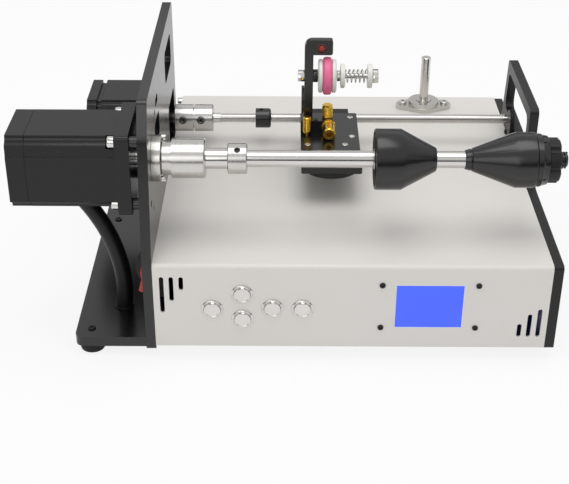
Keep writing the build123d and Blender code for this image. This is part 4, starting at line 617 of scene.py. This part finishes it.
spindle_y, spindle_z = at(0, SPINDLE[0], 0).y, SPINDLE[1] * MM
THREAD_FROM = 127.0
SPINDLE_R, JOURNAL_R = 6, 7.5
JOURNAL_FROM, JOURNAL_TO = -110.7, -87.6
bar_outline = [(JOURNAL_FROM, 0), (JOURNAL_FROM, JOURNAL_R), (JOURNAL_TO, JOURNAL_R),
               (JOURNAL_TO, SPINDLE_R), (THREAD_FROM + 1, SPINDLE_R), (THREAD_FROM + 1, 0)]
bar = lathe(millimetres(bar_outline), spindle_y, spindle_z, steps=64)
smooth(bar, 30)
fit(bar, "spindle_bar", "turned_steel", "spindle", "spindle_shaft")
end_core = lathe(millimetres([(THREAD_FROM, 0), (THREAD_FROM, 5.3), (148.6, 5.3), (149.5, 4.4), (149.5, 0)]),
                 spindle_y, spindle_z)
FINE_PITCH = 1.75
end_thread = thread(at(THREAD_FROM, 0, 0).x, 12, FINE_PITCH * MM, SPINDLE_R * MM, 0.8 * MM,
                    spindle_y, spindle_z, steps=32)
end_thread = joined([end_thread, end_core])
smooth(end_thread, 30)
fit(end_thread, "spindle_thread", "black_anodised", "spindle")

# %% Ring in the left cone's face
ring_outline = [(14.3, 6.05), (14.3, 6.9), (14.7, 7.3), (16.4, 7.3), (16.4, 6.05), (14.3, 6.05)]
ring = lathe(millimetres(ring_outline), spindle_y, spindle_z)
smooth(ring, 30)
fit(ring, "cone_ring", "chrome", "spindle")

# %% [markdown]
# ## Set screws
# Couplings and collars are locked by headless screws that sink into the part. The two of the coupling
# are large: a bright ground face with a black rim round it, which is painted shade of the gap and
# chamfer of the hole; the collar's is small and sits deep in its hole. All point up and to the front,
# where the key reaches them.

# %% Set screws of the coupling and the collar
def towards_front(degrees):
    """Turns +Z about the machine's length, so that it leans to the front."""
    return Matrix.Rotation(math.radians(degrees), 4, "X")


def around(x, axis, radius, degrees):
    """A point at the radius from an axis along X, in the leaning direction."""
    lean = towards_front(degrees) @ Vector((0, 0, radius * MM))
    return at(x, *axis) + lean


SET_TILT = 77.6
COLLAR_TILT = 31.6
set_screw = hex_screw(3.1, 1.0, 2.0, 1.0, 1.5, 0.4)
SET_X = (-131.27, -116.47)
set_places = [around(x, SCREW, 9.6, SET_TILT) for x in SET_X]
# The coupling's screw bodies are black as painted shade of the gap and chamfer round each bright face.
body = joined(spread(set_screw, towards_front(SET_TILT), set_places))
fit(body, "coupling_set_screws_painted_shade_rim", "black_anodised", "screw")
face_outline = [(0, 1.55), (0, 2.45), (0.12, 2.35), (0.12, 1.65), (0, 1.55)]
face = lathe([(x * MM, r * MM) for x, r in face_outline], 0, 0)
face_places = [around(x, SCREW, 10.6, SET_TILT) for x in SET_X]
faces = [copied(face, towards_front(SET_TILT) @ BACK_X, place) for place in face_places]
fit(joined(faces), "coupling_set_faces", "chrome", "screw")
deep_screw = hex_screw(2.1, 1.2, 1.5, 0.5, 1.0, 0.3)
deep = copied(deep_screw, towards_front(COLLAR_TILT), around(-80.85, SPINDLE, 8.0, COLLAR_TILT))
fit(deep, "collar_set_screw", "black_anodised", "spindle")
for master in (set_screw, face, deep_screw):
    bpy.data.objects.remove(master)

# %% [markdown]
# ## Tension unit
# The wire runs over the white wheel. Left of it the axle is held by a nut and a black spacer; right of
# it a second nut backs a white disc, then come the spring, a loose white disc and the end nut. In CAD
# the fixed ones are one node; here each is a piece with its own finish.

# %% Nuts, spacer and fixed disc
def hex_nut(corner_r, height, bore_r):
    """A nut standing on z = 0, its rims broken and its bore cut through. Millimetres."""
    pick_nothing()
    bpy.ops.mesh.primitive_cylinder_add(
        vertices=6, radius=corner_r * MM, depth=height * MM, location=(0, 0, height * MM / 2))
    nut = bpy.context.active_object
    bpy.ops.object.transform_apply()
    modify(nut, "BEVEL", width=0.3 * MM, segments=2, limit_method="ANGLE", angle_limit=math.radians(30))
    bpy.ops.mesh.primitive_cylinder_add(
        vertices=32, radius=bore_r * MM, depth=height * 3 * MM, location=(0, 0, height * MM / 2))
    bore = bpy.context.active_object
    modify(nut, "BOOLEAN", object=bore, operation="DIFFERENCE", solver="EXACT")
    bpy.data.objects.remove(bore)
    smooth(nut, 35)
    return nut


def ring_on_axle(x0, x1, radius, edge):
    """A disc with rounded rims, bored for the axle. Millimetres."""
    outline = [(x0, 2.0), (x0, radius - edge), (x0 + edge * 0.3, radius - edge * 0.3), (x0 + edge, radius),
               (x1 - edge, radius), (x1 - edge * 0.3, radius - edge * 0.3), (x1, radius - edge), (x1, 2.0), (x0, 2.0)]
    disc = lathe(millimetres(outline), at(0, AXLE[0], 0).y, AXLE[1] * MM)
    smooth(disc, 35)
    return disc


axle_bar = lathe(millimetres([(-37.0, 0), (-37.0, 1.6), (-36.6, 2.0), (23.5, 2.0), (23.9, 1.6), (23.9, 0)]),
                 at(0, AXLE[0], 0).y, AXLE[1] * MM, steps=32)
smooth(axle_bar, 30)
fit(axle_bar, "axle_bar", "turned_steel", "carriage", "tension_axle")
left_nut, back_nut, end_nut = hex_nut(4.6, 5.0, 2.0), hex_nut(4.2, 2.6, 2.0), hex_nut(5.5, 4.6, 2.06)
for nut, x, name, body, nodes in (
        (left_nut, -38.0, "axle_nut", "carriage", ()), (back_nut, -7.9, "disc_nut", "carriage", ()),
        (end_nut, 19.5, "tension_hex_nut", "tension_wheel", ("tension_nut",))):
    nut.data.transform(Matrix.Translation(at(x, *AXLE)) @ ALONG_X)
    fit(nut, name, "chrome", body, *nodes)
fit(ring_on_axle(-26.3, -22.7, 5.0, 0.4), "axle_spacer", "black_anodised", "carriage")
fit(ring_on_axle(-5.3, -1.7, 9.3, 0.8), "fixed_disc", "white_plastic", "carriage")

# %% [markdown]
# ## Carriage hardware
# Four flush screws hold the plate to the nut block and the shoe. A small headless screw in the clamp
# block holds the bar, a red one with a ring marks the tapped hole at its top, and a thin black strip
# lies along its left side.

# %% Carriage screws, red screw and strip
flush = hex_screw(2.5, 0.7, 1.5, 2.0, 1.25, 0.45)
flush_places = [at(x, y, CARRIAGE_TOP) for x, y in ((4.6, 178.2), (4.5, 142.7), (-1.4, 128.2), (-30.2, 127.9))]
fit(joined(spread(flush, UPRIGHT, flush_places)), "carriage_screws", "chrome", "carriage")
block_screw = hex_screw(2.0, 0.5, 1.5, 1.0, 1.1, 0.3)
fit(copied(block_screw, UPRIGHT, at(-23.6, 153.2, CARRIAGE_TOP + 9.5)), "block_screw", "black_anodised", "carriage")
red = hex_screw(1.9, 1.1, 1.2, 1.0, 0.8, 0.4)
red_face = at(-20, 155.2, CASE_TOP + 99.5)
red_outline = [(0, 2.9), (0, 3.45), (0.3, 3.3), (0.3, 3.05), (0, 2.9)]
red_ring = lathe([(x * MM, r * MM) for x, r in red_outline], 0, 0)
red_parts = [copied(red, TO_FRONT, red_face),
             copied(red_ring, Matrix.Rotation(math.radians(-90), 4, "Z"), red_face)]
fit(joined(red_parts), "red_screw", "red_plastic", "carriage")
pick_nothing()
bpy.ops.mesh.primitive_cube_add(size=1)
strip = bpy.context.active_object
strip.scale = (2.0 * MM, 6.0 * MM, 21.2 * MM)
bpy.ops.object.transform_apply()
modify(strip, "BEVEL", width=0.4 * MM, segments=2)
smooth(strip)
strip.data.transform(Matrix.Translation(at(-34.1, 157, 135.1)))
fit(strip, "bar_strip", "black_anodised", "carriage")
for master in (flush, block_screw, red, red_ring):
    bpy.data.objects.remove(master)

# %% [markdown]
# ## Display frame
# The display looks through a window in the front panel. A thin light frame lines the window's edge: a
# plate inset on both faces, with the two inner faces bridged to open it.

# %% Display frame
pick_nothing()
bpy.ops.mesh.primitive_cube_add(size=1)
frame_piece = bpy.context.active_object
frame_piece.scale = (48.9 * MM, 0.5 * MM, 36.5 * MM)
bpy.ops.object.transform_apply()
edit_faces(frame_piece, lambda c, n: abs(n.y) > 0.9)
bpy.ops.mesh.inset(thickness=0.7 * MM)
bpy.ops.mesh.bridge_edge_loops()
bpy.ops.object.mode_set(mode="OBJECT")
frame_piece.data.transform(Matrix.Translation(at(55, 0.15, 45.7)))
fit(frame_piece, "display_frame", "white_plastic", "machine")

# %% [markdown]
# ## Push buttons
# The five buttons are metal panel switches: a plated bezel with a stepped rim, and a flat brushed cap
# that sinks 2 mm when pressed. Both are turned parts, so each is one outline spun round, made once
# and copied to its place.

# %% Button bezels and caps
BUTTON_XZ = [(-98.7, -36.1), (-77.4, -23.5), (-77.2, -44.3), (-56.0, -35.2), (-34.7, -35.6)]
bezel_outline = [(0, 6.7), (0, 7.7), (0.5, 7.7), (0.95, 7.3), (1.1, 7.0), (1.1, 6.8), (1.5, 6.5),
                 (1.5, 6.2), (1.2, 5.96), (-16, 5.96), (-16, 6.7), (0, 6.7)]
bezel = lathe([(x * MM, r * MM) for x, r in bezel_outline], 0, 0)
smooth(bezel, 30)
cap_outline = [(-3.8, 0), (-3.8, 5.9), (1.75, 5.9), (2.1, 5.65), (2.2, 5.35), (2.05, 5.1), (2.05, 0)]
cap = lathe([(x * MM, r * MM) for x, r in cap_outline], 0, 0)
smooth(cap, 30)
OUT_FRONT = Matrix.Rotation(math.radians(-90), 4, "Z")  # turns +X to -Y
places = [at(x, 0, CASE_TOP + z) for x, z in BUTTON_XZ]
bezels = [copied(bezel, OUT_FRONT, place) for place in places]
fit(joined(bezels), "button_bezels", "chrome", "machine", "button_sleeves")
for i, place in enumerate(places, 1):
    fit(copied(cap, OUT_FRONT, place), f"button_cap_{i}", "chrome", f"button_{i}", f"push_button_{i}")
for master in (bezel, cap, small_screw):
    bpy.data.objects.remove(master)

# %% [markdown]
# ## Floor and light
# The machine stands on white paper under a large soft lamp, as in a catalogue picture. The paper shows
# as plain white to the camera and in reflections, but it keeps a little of the machine's shadow.

# %% Floor
pick_nothing()
bpy.ops.mesh.primitive_plane_add(size=8, location=(0, 1.5, 0))
floor = bpy.context.active_object
floor.name = "floor"
paper = bpy.data.materials.new("white_paper")
paper.use_nodes = True
tree = paper.node_tree
tree.nodes.clear()
path = put(tree, "ShaderNodeLightPath")
seen = put(tree, "ShaderNodeMath", {0: path.outputs["Is Camera Ray"], 1: path.outputs["Is Glossy Ray"]},
           operation="MAXIMUM")
share = put(tree, "ShaderNodeMath", {0: seen.outputs[0], 1: 0.85}, operation="MULTIPLY")
matt = put(tree, "ShaderNodeBsdfDiffuse", {"Color": linear("#F4F4F4")})
glow = put(tree, "ShaderNodeEmission", {"Color": linear("#FFFFFF"), "Strength": 1.0})
both = put(tree, "ShaderNodeMixShader", {0: share.outputs[0], 1: matt.outputs[0], 2: glow.outputs[0]})
put(tree, "ShaderNodeOutputMaterial", {"Surface": both.outputs[0]})
floor.data.materials.append(paper)

# %% [markdown]
# Polished metal shows what surrounds it, so the room matters as much as the lamps. The world is a
# studio: bright overhead, dark at the height of the horizon. That dark band is what gives the spindle
# and the hub their dark line along the front.

# %% Room and lamps
world = bpy.data.worlds.new("studio")
bpy.context.scene.world = world
world.use_nodes = True
tree = world.node_tree
tree.nodes.clear()
way = put(tree, "ShaderNodeTexCoord").outputs["Generated"]
height = put(tree, "ShaderNodeSeparateXYZ", {"Vector": way}).outputs["Z"]
ramp = put(tree, "ShaderNodeValToRGB", {"Fac": height})
steps = ramp.color_ramp.elements
steps[0].position, steps[0].color = 0.0, linear("#3A3A3A")
steps[1].position, steps[1].color = 1.0, linear("#E6E6E6")
for place, tone in ((0.16, "#4A4A4A"), (0.32, "#D6D6D6"), (0.5, "#FAFAFA")):
    step = steps.new(place)
    step.color = linear(tone)
room = put(tree, "ShaderNodeBackground", {"Color": ramp.outputs["Color"], "Strength": 0.85})
plain = put(tree, "ShaderNodeBackground", {"Color": linear("#FFFFFF"), "Strength": 1.0})
path = put(tree, "ShaderNodeLightPath")
both = put(tree, "ShaderNodeMixShader", {
    0: path.outputs["Is Camera Ray"], 1: room.outputs[0], 2: plain.outputs[0]})
put(tree, "ShaderNodeOutputWorld", {"Surface": both.outputs[0]})


def lamp(name, place, target, size, power):
    """A square soft lamp that faces the target."""
    data = bpy.data.lights.new(name, "AREA")
    data.size = size
    data.energy = power
    thing = bpy.data.objects.new(name, data)
    bpy.context.scene.collection.objects.link(thing)
    thing.location = place
    thing.rotation_euler = (Vector(target) - Vector(place)).to_track_quat("-Z", "Y").to_euler()


lamp("top_softbox", (0.05, -0.15, 1.4), (0, 0, 0.05), 0.9, 6)
lamp("front_fill", (-0.5, -1.4, 0.7), (0, 0, 0.1), 0.8, 2.5)
